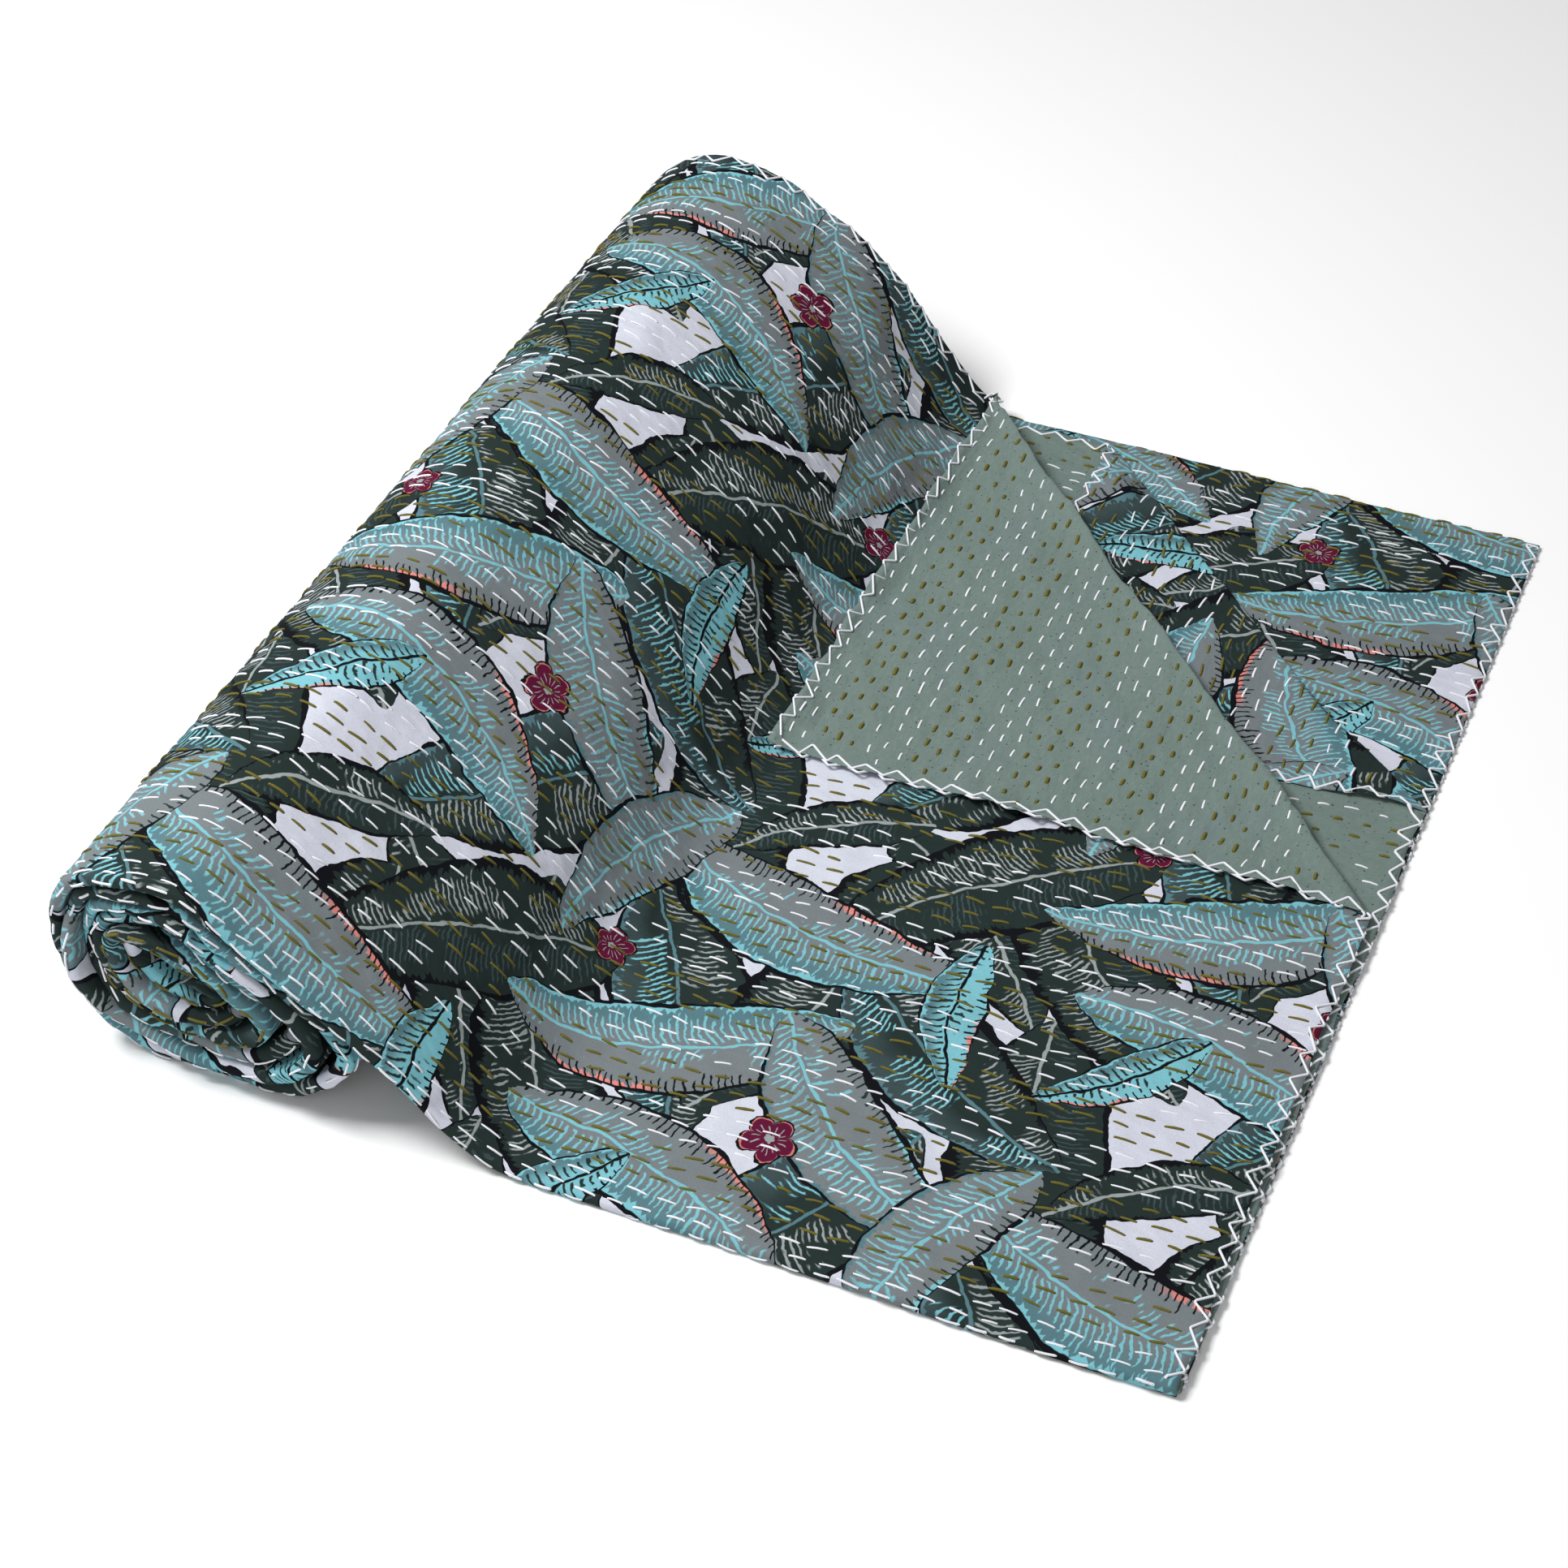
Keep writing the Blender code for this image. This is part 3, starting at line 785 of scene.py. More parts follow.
def blossom_group():
    """Paints one small blossom."""
    inputs = (
        (COLOUR, "Under"),
        (VECTOR, "Cell", "Centre", "Along", "Across"),
        (NUMBER, "Radius", "Rough"),
    )
    nodes, given, end = group_tree("painted_blossom", inputs, ((COLOUR, "Colour"),))
    along, across = motif_axes(nodes, given)
    radius = (along * along + across * across).math("SQRT")
    angle = across.math("ARCTAN2", along)
    lobes = abs((angle * (PETALS / 2)).math("COSINE"))
    reach = given["Radius"] * (lobes ** 0.6 * PETAL_DEPTH + (1.0 - PETAL_DEPTH))
    inside = reach - radius + (given["Rough"] - 0.5) * ROUGH_EDGE
    out = radius / reach
    rays = abs((angle * (PETALS * 1.5)).math("COSINE")).step(*RAY_WIDTH)
    rays = rays * out.step(*RAY_FROM) * (1.0 - out.step(*RAY_TO))
    under = nodes.mix(given["Under"], INK, inside.step(*OUTLINE_INK))
    petals = nodes.mix(WINE, PALE, rays)
    petals = nodes.mix(petals, CORAL, out.step(*TIPS) * 0.8)
    petals = nodes.mix(petals, PALE, 1.0 - out.step(*HEART))
    return finish_group(nodes, end, Colour=nodes.mix(under, petals, inside.step(*PETAL_EDGE)))


# Each leaf of the repeat, in the order in which they overlap: kind, centre along and across, turn in
# degrees, length, half width and bend.
LEAVES = (
    ("slate", 0.051, 0.207, 65, 0.200, 0.034, -0.014),
    ("dark", 0.176, 0.087, 44, 0.170, 0.027, -0.012),
    ("dark", 0.040, 0.050, 70, 0.215, 0.037, 0.016),
    ("dark", 0.110, 0.155, 100, 0.210, 0.038, -0.018),
    ("dark", 0.020, 0.255, 55, 0.210, 0.036, 0.014),
    ("slate", 0.150, 0.310, 125, 0.200, 0.036, -0.014),
    ("dark", 0.185, 0.060, 140, 0.195, 0.034, 0.012),
    ("slate", 0.205, 0.175, 35, 0.180, 0.032, 0.010),
    ("teal", 0.105, 0.100, 12, 0.200, 0.030, 0.022),
    ("teal", 0.060, 0.205, 160, 0.190, 0.029, -0.020),
    ("grey", 0.185, 0.235, 40, 0.185, 0.027, 0.018),
    ("teal", 0.095, 0.320, 20, 0.190, 0.028, -0.020),
    ("grey", 0.005, 0.120, 110, 0.150, 0.024, 0.014),
    ("dark", 0.086, 0.047, 150, 0.110, 0.017, 0.008),
    ("aqua", 0.200, 0.145, 80, 0.105, 0.015, 0.008),
    ("aqua", 0.045, 0.330, 135, 0.100, 0.014, -0.006),
)
# Body and veins apart, shade and patchiness, veins of the upper half, short veins of the lower half, rib,
# edge, tip.
KINDS = {
    "dark": (DARK, 0.0034, DARK, 1.0, PALE, SLATE, PALE, INK, INK),
    "slate": (DARK, 0.0038, SLATE, 1.0, AQUA, PALE, TEAL, TEAL, INK),
    "teal": (GREY, 0.0040, TEAL, 0.0, AQUA, INK, AQUA, AQUA, CORAL),
    "grey": (GREY, 0.0044, GREY, 0.4, AQUA, DARK, AQUA, TEAL, AQUA),
    "aqua": (AQUA, 0.0043, TEAL, 0.0, DARK, INK, INK, AQUA, CORAL),
}
# Blossoms: centre along and across, turn in degrees, radius.
BLOSSOMS = (
    (0.140, 0.262, 10, 0.0150),
    (0.012, 0.175, 40, 0.0120),
)
KIND_ROOM = 8.0  # kinds that there is room for on the ramps


def by_kind(nodes, leaf, index, number=None):
    """A colour that each kind of leaf has of its own, and with it a number."""
    stops = []
    for place, kind in enumerate(KINDS.values()):
        alpha = 1.0 if number is None else kind[number]
        stops.append((max(place - 0.3, 0.0) / KIND_ROOM, (*kind[index], alpha)))
    colour, value = nodes.picked(leaf / KIND_ROOM, stops)
    return colour if number is None else (colour, value)


# Brush strokes: ranges are shares of the way from the rib to the edge, or from one vein to the next.
VEIN_SLANT = 0.62  # veins lean towards the tip
VEIN_SWEEP = 0.42  # and less so at the edge
VEIN_SHAKE = 0.35
RIB_SIDE = (-0.0003, 0.0003)  # from the lower to the upper half, in metres
TOOTHED_KINDS = (1.5, 1.6)  # kinds past these have short veins and teeth in their lower half
STROKE_WIDTH = 0.42
STROKE_TAPER = 0.20
STROKE_ROUGH = 0.6
STROKE_SOFT = (0.14, 0.10)
STROKE_FADE = (0.05, 0.07)  # at its beginning and end
STROKE_FROM = (0.02, 0.14)  # strokes begin here, or further out by up to the second number
STROKE_TO = (0.66, 0.28)
LOWER_SHORTER = (0.10, 0.30)  # in a toothed leaf's lower half they end this much earlier
TOOTH_FROM = (0.60, 0.24)
PATCHES = (0.44, 0.50)
TOOTH_WIDTH = (0.16, 0.36)
EDGE_BAND = (0.87, 0.90)
EDGE_BEAT = 0.08  # the band at the edge reaches in at the veins
EDGE_UNEVEN = 0.14
TIP_FROM = (-0.004, 0.012)  # along the leaf, in metres
TIP_TO = (0.050, 0.070)
RIB_WIDTH = (0.0007, 0.0012)
SHADED = (0.15, 0.85)
LEAF_EDGE = (0.985, 1.005)


def at_random(chance, least, spread):
    """The least, or more by up to the spread."""
    return chance * spread + least


def painted_leaf(nodes, laid, leaf, rough, slow):
    """The leaf that lies on top, with its brushed side veins, rib and edges, and ink round it."""
    along, across, reach = nodes.split(laid)
    body, apart = by_kind(nodes, leaf, 0, 1)
    shade, patchy = by_kind(nodes, leaf, 2, 3)
    vein, short_vein, rib_colour, edge, tip = (by_kind(nodes, leaf, index) for index in range(4, 9))
    rough = rough - 0.5
    away = abs(across)
    out = away / reach
    upper = across.step(*RIB_SIDE)
    lower = 1.0 - upper
    toothed = leaf.step(*TOOTHED_KINDS)

    beats = (along - away * VEIN_SLANT + out * away * VEIN_SWEEP) / apart + rough * VEIN_SHAKE
    stroke = beats.math("FLOOR")
    beat = abs(beats - stroke - 0.5) * 2.0
    values = {"W": stroke + upper * 57.0 + leaf * 613.0}
    chance = nodes.add("ShaderNodeTexWhiteNoise", values, {"noise_dimensions": "1D"}, "Color")
    first, second, third = nodes.split(chance)
    fade_in, fade_out = STROKE_FADE
    begin = at_random(third, *STROKE_FROM)
    stop = at_random(second, *STROKE_TO) - lower * toothed * at_random(first, *LOWER_SHORTER)
    width = STROKE_WIDTH - out * STROKE_TAPER + rough * STROKE_ROUGH
    mark = 1.0 - beat.step(width - STROKE_SOFT[0], width + STROKE_SOFT[1])
    mark = mark * out.step(begin, begin + fade_in) * (1.0 - out.step(stop - fade_out, stop))
    mark = mark * (1.0 - (patchy + lower * toothed).at_most(1.0) * (1.0 - slow.step(*PATCHES)))
    begin = at_random(second, *TOOTH_FROM)
    teeth = (1.0 - beat.step(*TOOTH_WIDTH)) * out.step(begin, begin + fade_in) * lower * toothed
    band = (out - (1.0 - beat) * EDGE_BEAT + (first - 0.5) * EDGE_UNEVEN).step(*EDGE_BAND)
    towards_tip = lower * along.step(*TIP_FROM) * (1.0 - along.step(*TIP_TO))

    colour = nodes.mix(body, shade, upper * out.step(*SHADED) + (slow - 0.5) * 0.8)
    colour = nodes.mix(colour, edge, band * upper)
    colour = nodes.mix(colour, tip, band * towards_tip)
    colour = nodes.mix(colour, nodes.mix(short_vein, vein, (upper + toothed).at_most(1.0)), mark)
    colour = nodes.mix(colour, short_vein, teeth)
    colour = nodes.mix(colour, rib_colour, 1.0 - away.step(*RIB_WIDTH))
    return nodes.mix(colour, INK, out.step(*LEAF_EDGE))


def laid_motif(nodes, group, cell, motif, values):
    """Adds one motif's group node. The motif is its centre along and across, and its turn in degrees."""
    along, across, turn = motif
    axis, side = repeat_axes(math.radians(turn))
    values |= {"Cell": cell, "Centre": (*repeat_cell(along, across), 0.0), "Along": axis, "Across": side}
    return nodes.add("ShaderNodeGroup", values, {"node_tree": group})


HAND_SHAKE = (0.010, 0.010, 0.0)
BRUSH_DRY = 0.34  # a dry brush leaves a leaf this much narrower


def leaf_print(nodes, place, settings):
    """The print's colour at a place on the flat cloth."""
    wobble = nodes.noise(place, 42.0, 3.0, 0.55, "Color")
    rough = nodes.noise(place, 330.0, 1.0)
    slow = nodes.noise(place, 33.0, 2.0)
    x, y, _ = nodes.split(nodes.vector("MULTIPLY_ADD", wobble, HAND_SHAKE, place))
    cell = nodes.join(*repeat_cell(x, y), 0.0)
    brush = (slow - 0.36).at_least(0.0) * BRUSH_DRY + 1.03
    kinds = list(KINDS)
    laid, leaf = (0.0, 0.0, 1.0), -1.0
    group = leaf_group()
    for index, (kind, *motif, length, half_width, bend) in enumerate(LEAVES):
        values = {"Laid": laid, "Leaf": leaf, "Length": length, "Half Width": half_width, "Bend": bend}
        values |= {"Brush": brush, "Number": kinds.index(kind) + index / 100.0}
        laid, leaf = nodes.outputs(laid_motif(nodes, group, cell, motif, values))
    ground = nodes.mix(settings.ground, GROUND_SHADE, slow.step(0.45, 0.75) * 0.5)
    colour = nodes.mix(ground, painted_leaf(nodes, laid, leaf, rough, slow), leaf.step(-0.5, -0.4))
    group = blossom_group()
    for *motif, radius in BLOSSOMS:
        values = {"Under": colour, "Radius": radius, "Rough": rough}
        colour = laid_motif(nodes, group, cell, motif, values)
    return colour


def paint_cotton(nodes, shader, colour, place):
    """Gives a cotton its colour, and the small puckers that quilting draws it into."""
    x, y, _ = nodes.split(place)
    paint(nodes, shader, colour, nodes.noise(nodes.join(x * 0.5, y, 0.0), 75.0, 2.0), 0.9, 0.0024)


def printed_cotton(settings):
    """The printed face."""
    material, shader, nodes = new_material("printed_cotton", 0.86)
    place = cloth_place(nodes)
    colour = leaf_print(nodes, place, settings)
    colour = nodes.mix(colour, BLACK, nodes.noise(place, 900.0, 0.0) * 0.16)
    paint_cotton(nodes, shader, colour, place)
    return material


SLUB_LENGTH = 12.0  # slubs are this much longer than wide
SLUB = (0.122, 0.168, 0.150)
CROSS_SLUB = (0.216, 0.270, 0.248)
CLOUD = (0.15, 0.20, 0.23)
FLECK = (0.03, 0.045, 0.05)


def sage_cotton(settings):
    """The plain back: slubs both ways of the weave, soft clouds and a few dark flecks."""
    material, shader, nodes = new_material("sage_cotton", 0.88)
    place = cloth_place(nodes)
    x, y, _ = nodes.split(place)
    slubs = nodes.noise(nodes.join(x * SLUB_LENGTH, y, 0.0), 170.0, 2.0)
    cross_slubs = nodes.noise(nodes.join(x, y * SLUB_LENGTH, 0.0), 170.0, 2.0)
    clouds = nodes.noise(place, 22.0, 3.0)
    flecks = nodes.noise(place, 560.0, 0.0)
    colour = nodes.mix(settings.sage, SLUB, slubs.step(0.40, 0.75) * 0.7)
    colour = nodes.mix(colour, CROSS_SLUB, cross_slubs.step(0.45, 0.80) * 0.6)
    colour = nodes.mix(colour, CLOUD, clouds.step(0.5, 0.8) * 0.30)
    colour = nodes.mix(colour, FLECK, flecks.step(0.735, 0.80) * 0.75)
    paint_cotton(nodes, shader, colour, place)
    return material


PLIES = 9.0  # turns of the ply in one stitch's length


def thread(name, colour, dark):
    """Twisted cotton thread: slanting plies from the stitch's own length and girth, with painted shade (the
    given dark colour) in the grooves between the plies.
    """
    material, shader, nodes = new_material(name, 0.7, 0.1)
    along, around = (
        nodes.add("ShaderNodeAttribute", None, {"attribute_name": label}, "Fac")
        for label in ("along", "around")
    )
    ply = (along * PLIES + around * 2.0).math("FRACT").step(0.30, 0.85)
    paint(nodes, shader, nodes.mix(dark, colour, ply), ply, 0.5, 0.0002)
    return material


# ---------------------------------------------------------------- cloth meshes
def flat_lines(sections):
    """Line positions through (start, stop, spacing) sections, without doubles."""
    lines = []
    for start, stop, spacing in sections:
        steps = max(int(math.ceil((stop - start) / spacing - 1e-6)), 1)
        lines += list(np.linspace(start, stop, steps + 1)[:-1])
    return np.array(lines + [sections[-1][1]])


def sheet_grid(along, across, kept):
    """A flat grid of points (s, v) and its faces. kept gives the across lines that each along line has."""
    points = []
    faces = []
    last = None
    for i, s in enumerate(along):
        lines = kept[i]
        index = {int(j): len(points) + n for n, j in enumerate(lines)}
        points += [(s, across[j]) for j in lines]
        if last is not None:
            for a, b in zip(lines[:-1], lines[1:]):
                edge = [last[j] for j in range(int(b), int(a) - 1, -1) if j in last]
                faces.append([index[int(a)], index[int(b)], *edge])
        last = index
    return np.array(points), faces


RIM = 0.0003  # the cut edge bulges this far
# The picture map's share at each distance from the loose end and across: most goes to the cloth that shows.
BAKE_ALONG = ((0.0, 0.36, 1.06, LENGTH), (0.005, 0.35, 0.80, 0.995))
BAKE_ACROSS = ((0.0, TOP_PANEL, WIDTH - 0.30, WIDTH), (0.005, 0.62, 0.86, 0.995))


def cloth_sheet(name, side, along, across, kept, material):
    """One of the two cottons, carried through the folds, with its edge turned down to the other cotton."""
    points, faces = sheet_grid(along, across, kept)
    flat = bpy.data.meshes.new(name)
    flat.from_pydata([(s, v, 0.0) for s, v in points], [], faces)
    cloth = bmesh.new()
    cloth.from_mesh(flat)
    bpy.data.meshes.remove(flat)
    crease(cloth, TOP_CORNER_LEG, TOP_CORNER_RADIUS, 0.0)
    crease(cloth, INNER_CORNER_LEG, INNER_CORNER_RADIUS, WIDTH)
    border = [e for e in cloth.edges if e.is_boundary]
    rim = bmesh.ops.extrude_edge_only(cloth, edges=border)["geom"]
    rim_points = {g for g in rim if isinstance(g, bmesh.types.BMVert)}
    bmesh.ops.recalc_face_normals(cloth, faces=cloth.faces)
    if sum(f.normal.z for f in cloth.faces) > 0.0:
        bmesh.ops.reverse_faces(cloth, faces=cloth.faces)
    if side == BACK:
        bmesh.ops.reverse_faces(cloth, faces=cloth.faces)

    co = np.array([v.co for v in cloth.verts])
    on_rim = np.array([v in rim_points for v in cloth.verts])
    s, v = co[:, 0], co[:, 1]
    wander = np.where(on_rim, v, row_at(s, v))
    w = np.where(on_rim, 0.0, surface(v, side))
    s_out = s + RIM * on_rim * (np.isclose(s, LENGTH).astype(float) - np.isclose(s, 0.0))
    v_out = wander + RIM * on_rim * (np.isclose(v, WIDTH).astype(float) - np.isclose(v, 0.0))
    places = carry(s_out, v_out, w)
    maps = (
        ("flat_cloth", s / UV_METRES, wander / UV_METRES),
        ("OFBake", np.interp(LENGTH - s, *BAKE_ALONG), np.interp(v, *BAKE_ACROSS)),
    )
    for label, u_map, v_map in maps:
        layer = cloth.loops.layers.uv.new(label)
        for face in cloth.faces:
            for loop in face.loops:
                index = loop.vert.index
                loop[layer].uv = (u_map[index], v_map[index])
    for vertex, place in zip(cloth.verts, places):
        vertex.co = place
    mesh = bpy.data.meshes.new(name)
    cloth.to_mesh(mesh)
    cloth.free()
    mesh.materials.append(material)
    mesh.shade_smooth()
    return linked(name, mesh)


def linked(name, data):
    """An object in the scene."""
    piece = bpy.data.objects.new(name, data)
    bpy.context.scene.collection.objects.link(piece)
    return piece


CORNER_ACROSS = 0.4  # a crease cuts only the faces this near to its corner
BEFORE_CREASE = 0.05


def crease(cloth, leg, radius, edge):
    """Cuts the lines along which a corner bends."""
    cloth.verts.index_update()
    normal = Vector((1.0, -1.0 if edge == 0.0 else 1.0, 0.0)).normalized()
    for step in range(CORNER_ARC_STEPS + 1):
        past = math.pi * radius * step / CORNER_ARC_STEPS
        origin = Vector((LENGTH - leg, edge, 0.0)) + normal * past
        near = [f for f in cloth.faces if abs(f.calc_center_median().y - edge) < CORNER_ACROSS]
        faces = [f for f in near if f.calc_center_median().x > LENGTH - leg - BEFORE_CREASE]
        geometry = [*faces, *dict.fromkeys(e for f in faces for e in f.edges)]
        geometry += dict.fromkeys(v for f in faces for v in f.verts)
        bmesh.ops.bisect_plane(cloth, geom=geometry, dist=1e-6, plane_co=origin, plane_no=normal)
    cloth.verts.index_update()


FOLD_STEPS = {NEAR_FOLD: 9, FAR_FOLD: 5, INNER_FOLD: 4}
BESIDE_FOLD = 0.012


def panel_lines(shown, fine, wide):
    """Across lines: each panel fine where it is shown and wide elsewhere, with a few beside each fold."""
    sections = []
    beside = BESIDE_FOLD / 3
    for panel, length in enumerate(STRETCHES):
        start = STARTS[panel]
        stop = start + length
        first, last = start + BESIDE_FOLD, stop - BESIDE_FOLD
        if panel in FOLD_STEPS:
            sections.append((start, stop, length / FOLD_STEPS[panel]))
        elif panel in shown:
            low, high = (start + min(reach, length) for reach in shown[panel])
            if low > first:
                sections += [(start, first, beside), (first, low, wide)]
            sections.append((low, high, fine))
            if high < last:
                sections += [(high, last, wide), (last, stop, beside)]
        else:
            sections += [(start, first, beside), (first, last, wide), (last, stop, beside)]
    return flat_lines(sections)


def kept_lines(across, spacing, whole=(), top_spacing=None):
    """The across lines that go on: the folds and edges, some panels whole, and a few lines elsewhere."""
    keep = []
    last = -1.0
    for index, v in enumerate(across):
        near = min(abs(v - start) for start in STARTS) < BESIDE_FOLD + CLOTH / 2
        panel = min(int(np.searchsorted(STARTS, v, side="right")) - 1, INNER)
        gap = top_spacing if panel == TOP and top_spacing else spacing
        if near or panel in FOLD_STEPS or panel in whole or v - last > gap:
            keep.append(index)
            last = v
    return np.array(keep)


WINDING_STEP = 0.0048  # along lines in the roll are at least this far apart, or so many stations
WINDING_STATIONS = 3
LAST_STEP = 0.003


def along_lines(reaches, steps):
    """Along lines from the loose end inwards: at even steps up to each reach, then as the winding bends."""
    lines = []
    start = 0.0
    for reach, step in zip(reaches, steps):
        lines += list(np.linspace(start, reach, int((reach - start) / step) + 1)[:-1])
        start = reach
    lines.append(start)
    stations = 0
    for distance in DISTANCE[DISTANCE > start]:
        stations += 1
        far_on = distance - lines[-1] > WINDING_STEP or stations >= WINDING_STATIONS
        if distance < LENGTH - LAST_STEP and far_on:
            lines.append(distance)
            stations = 0
    return LENGTH - np.array([*lines, LENGTH])


def made_by(tree, guide, name, inputs):
    """Runs a Geometry Nodes tree on a guide mesh and keeps the result as a plain mesh piece."""
    piece = linked(name, guide)
    modifier = piece.modifiers.new(name, "NODES")
    modifier.node_group = tree
    for item in tree.interface.items_tree:
        if item.item_type == "SOCKET" and item.in_out == "INPUT" and item.name in inputs:
            modifier[item.identifier] = inputs[item.name]
    depsgraph = bpy.context.evaluated_depsgraph_get()
    mesh = bpy.data.meshes.new_from_object(piece.evaluated_get(depsgraph))
    if not mesh.polygons:
        raise RuntimeError(f"{name} came out empty")
    mesh.name = name
    places = np.empty(3 * len(mesh.vertices))
    mesh.vertices.foreach_get("co", places)
    places[2::3] = np.maximum(places[2::3], 0.0)  # thread under the quilt is pressed flat on the table
    mesh.vertices.foreach_set("co", places)
    piece.modifiers.remove(modifier)
    piece.data = mesh
    bpy.data.meshes.remove(guide)
    return piece


def guide_mesh(name, lines):
    """Polylines as a mesh of edges. Each line is (places, vectors by attribute name)."""
    points = []
    edges = []
    vectors = {}
    for places, named in lines:
        first = len(points)
        points += [tuple(p) for p in places]
        edges += [(first + i, first + i + 1) for i in range(len(places) - 1)]
        for label, values in named.items():
            vectors.setdefault(label, []).append(values)
    mesh = bpy.data.meshes.new(name)
    mesh.from_pydata(points, edges, [])
    for label, values in vectors.items():
        layer = mesh.attributes.new(label, "FLOAT_VECTOR", "POINT")
        layer.data.foreach_set("vector", np.concatenate(values).astype(np.float32).ravel())
    return mesh


NUDGE = 0.0004  # a small step for reading directions off the folded cloth
NUDGE_IN = 0.002
FLOOR_CLEARANCE = 0.0006  # thread under the quilt is pressed into it


def unit(vectors):
    """Vectors of length 1."""
    return vectors / np.maximum(np.linalg.norm(vectors, axis=-1, keepdims=True), 1e-12)


def stitched_line(s, v, side, lift):
    """A row's guide: its places on the folded cloth, with the way up at each."""
    v = row_at(s, v)
    places = carry(s, v, surface(v, side, lift))
    above = carry(s, v, surface(v, side, lift + NUDGE))
    places[:, 2] = np.maximum(places[:, 2], FLOOR_CLEARANCE)
    return places, {"up": unit(above - places)}


def stretches_of(shown):
    """Runs of neighbouring points where a row shows, as slices."""
    runs = []
    start = None
    for i, here in enumerate([*shown, False]):
        if here and start is None:
            start = i
        if not here and start is not None:
            if i - start > 2:
                runs.append(slice(start, i))
            start = None
    return runs


def row_colour(row):
    """Rows change colour after every third."""
    return "white" if (row // 3) % 2 == 0 else "olive"


# The top layer's print is sewn this far from the loose end, to past where the roll hides it.
PRINT_REACH = 1.02
SQUARE_MARGIN = 0.004  # rows keep this far from the square that a corner was turned back from and onto
TOP_CREASE_MARGIN = 0.012  # and this far from the creases
INNER_CREASE_MARGIN = 0.010
UNDER_TOP_MARGIN = 0.008
BARE_MARGIN = 0.002


def top_face_shows(s, v):
    """Where the top layer's print is neither turned nor under the turned corner."""
    end = LENGTH - s
    turned_square = np.maximum(end, v) < TOP_CORNER_LEG + SQUARE_MARGIN
    return (end < PRINT_REACH) & ~turned_square


def top_back_shows(s, v):
    """The turned corner of the top layer, sage side up."""
    return (LENGTH - s) + v < TOP_CORNER_LEG - TOP_CREASE_MARGIN


def inner_back_shows(s, v):
    """The inner layer's sage side, in the opening that the top layer's turned corner leaves."""
    end, edge = LENGTH - s, WIDTH - v
    square = np.maximum(end, edge) < INNER_CORNER_LEG + SQUARE_MARGIN
    return (end + edge + FREE_EDGE_INSET_INNER < TOP_CORNER_LEG + BARE_MARGIN) & ~square


def inner_face_shows(s, v):
    """The inner layer's turned corner, print up."""
    past = INNER_CORNER_LEG - (LENGTH - s) - (WIDTH - v)
    covered = INNER_CORNER_LEG + past + FREE_EDGE_INSET_INNER > TOP_CORNER_LEG - UNDER_TOP_MARGIN
    return (past > INNER_CREASE_MARGIN) & ~covered


def second_face_shows(s, v):
    """The second layer's print at the far corner."""
    return (LENGTH - s) + v - STARTS[SECOND] < INNER_CORNER_LEG - BARE_MARGIN


def from_to(low, high):
    """Part of a fold's row, along the cloth."""
    return lambda s, v: (s > low) & (s <= high)


# Panel, side and the test for where its rows show.
STITCHED = (
    (TOP, FACE, top_face_shows),
    (TOP, BACK, top_back_shows),
    (INNER, BACK, inner_back_shows),
    (INNER, FACE, inner_face_shows),
    (SECOND, FACE, second_face_shows),
)
FOLD_COLOUR_CHANGE = 0.47  # the near fold's row goes on in olive from here inwards
# Single rows along the folds: panel, share of the way round it, colour and the test.
FOLD_ROWS = (
    (NEAR_FOLD, 0.42, "white", from_to(FOLD_COLOUR_CHANGE, LENGTH)),
    (NEAR_FOLD, 0.42, "olive", from_to(0.0, FOLD_COLOUR_CHANGE)),
    (FAR_FOLD, 0.50, "olive", from_to(0.0, LENGTH)),
)
ROW_SAMPLE = 0.004
END_MARGIN = 0.008
CORE_MARGIN = 0.02
PANEL_MARGIN = 0.0005
CUT_MARGIN = 0.004
ROW_SINK = 0.2  # a row's thread lies this share of its radius above the cloth


def stitched_rows():
    """Every row that shows: its place across, its side, its colour and the test for where it shows."""
    for panel, side, shows in STITCHED:
        low, high = STARTS[panel] + PANEL_MARGIN, STARTS[panel + 1] - PANEL_MARGIN
        for row in range(math.ceil(low / ROW_GAP), int(high / ROW_GAP) + 1):
            v = row * ROW_GAP
            if min(v, WIDTH - v) > CUT_MARGIN:
                yield v, side, row_colour(row), shows
    for panel, share, colour, shows in FOLD_ROWS:
        yield STARTS[panel] + share * STRETCHES[panel], FACE, colour, shows


def stitch_guides(radius):
    """Guide lines for every row that shows, by (colour, side)."""
    turn = np.random.default_rng(5)
    guides = {(colour, side): [] for colour in radius for side in (FACE, BACK)}
    for v, side, colour, shows in stitched_rows():
        start = END_MARGIN + turn.uniform(0.0, STITCH_PITCH)
        s = np.arange(LENGTH - start, CORE_MARGIN, -ROW_SAMPLE)
        flat_v = np.full_like(s, v)
        places, named = stitched_line(s, flat_v, side, radius[colour] * ROW_SINK)
        for run in stretches_of(shows(s, flat_v)):
            guides[colour, side].append((places[run], {k: a[run] for k, a in named.items()}))
    return guides


# ---------------------------------------------------------------- sewing as Geometry Nodes
TUBE_SIDES = 5
STITCH_SEGMENTS = 4
STITCH_ARCH = 1.5  # a stitch stands up by so many radii in the middle
STITCH_DIVE = 1.1  # and its ends lie so many below the cloth
STITCH_THINNEST = 0.65


def store(nodes, geometry, name, value):
    """Keeps a number on every point under a name."""
    values = {"Geometry": geometry, "Name": name, "Value": value}
    return nodes.geometry("StoreNamedAttribute", values, {"data_type": "FLOAT", "domain": "POINT"})


def stored_vector(nodes, name):
    """A vector that the guide mesh keeps under a name."""
    return nodes.geometry("InputNamedAttribute", {"Name": name}, {"data_type": "FLOAT_VECTOR"})


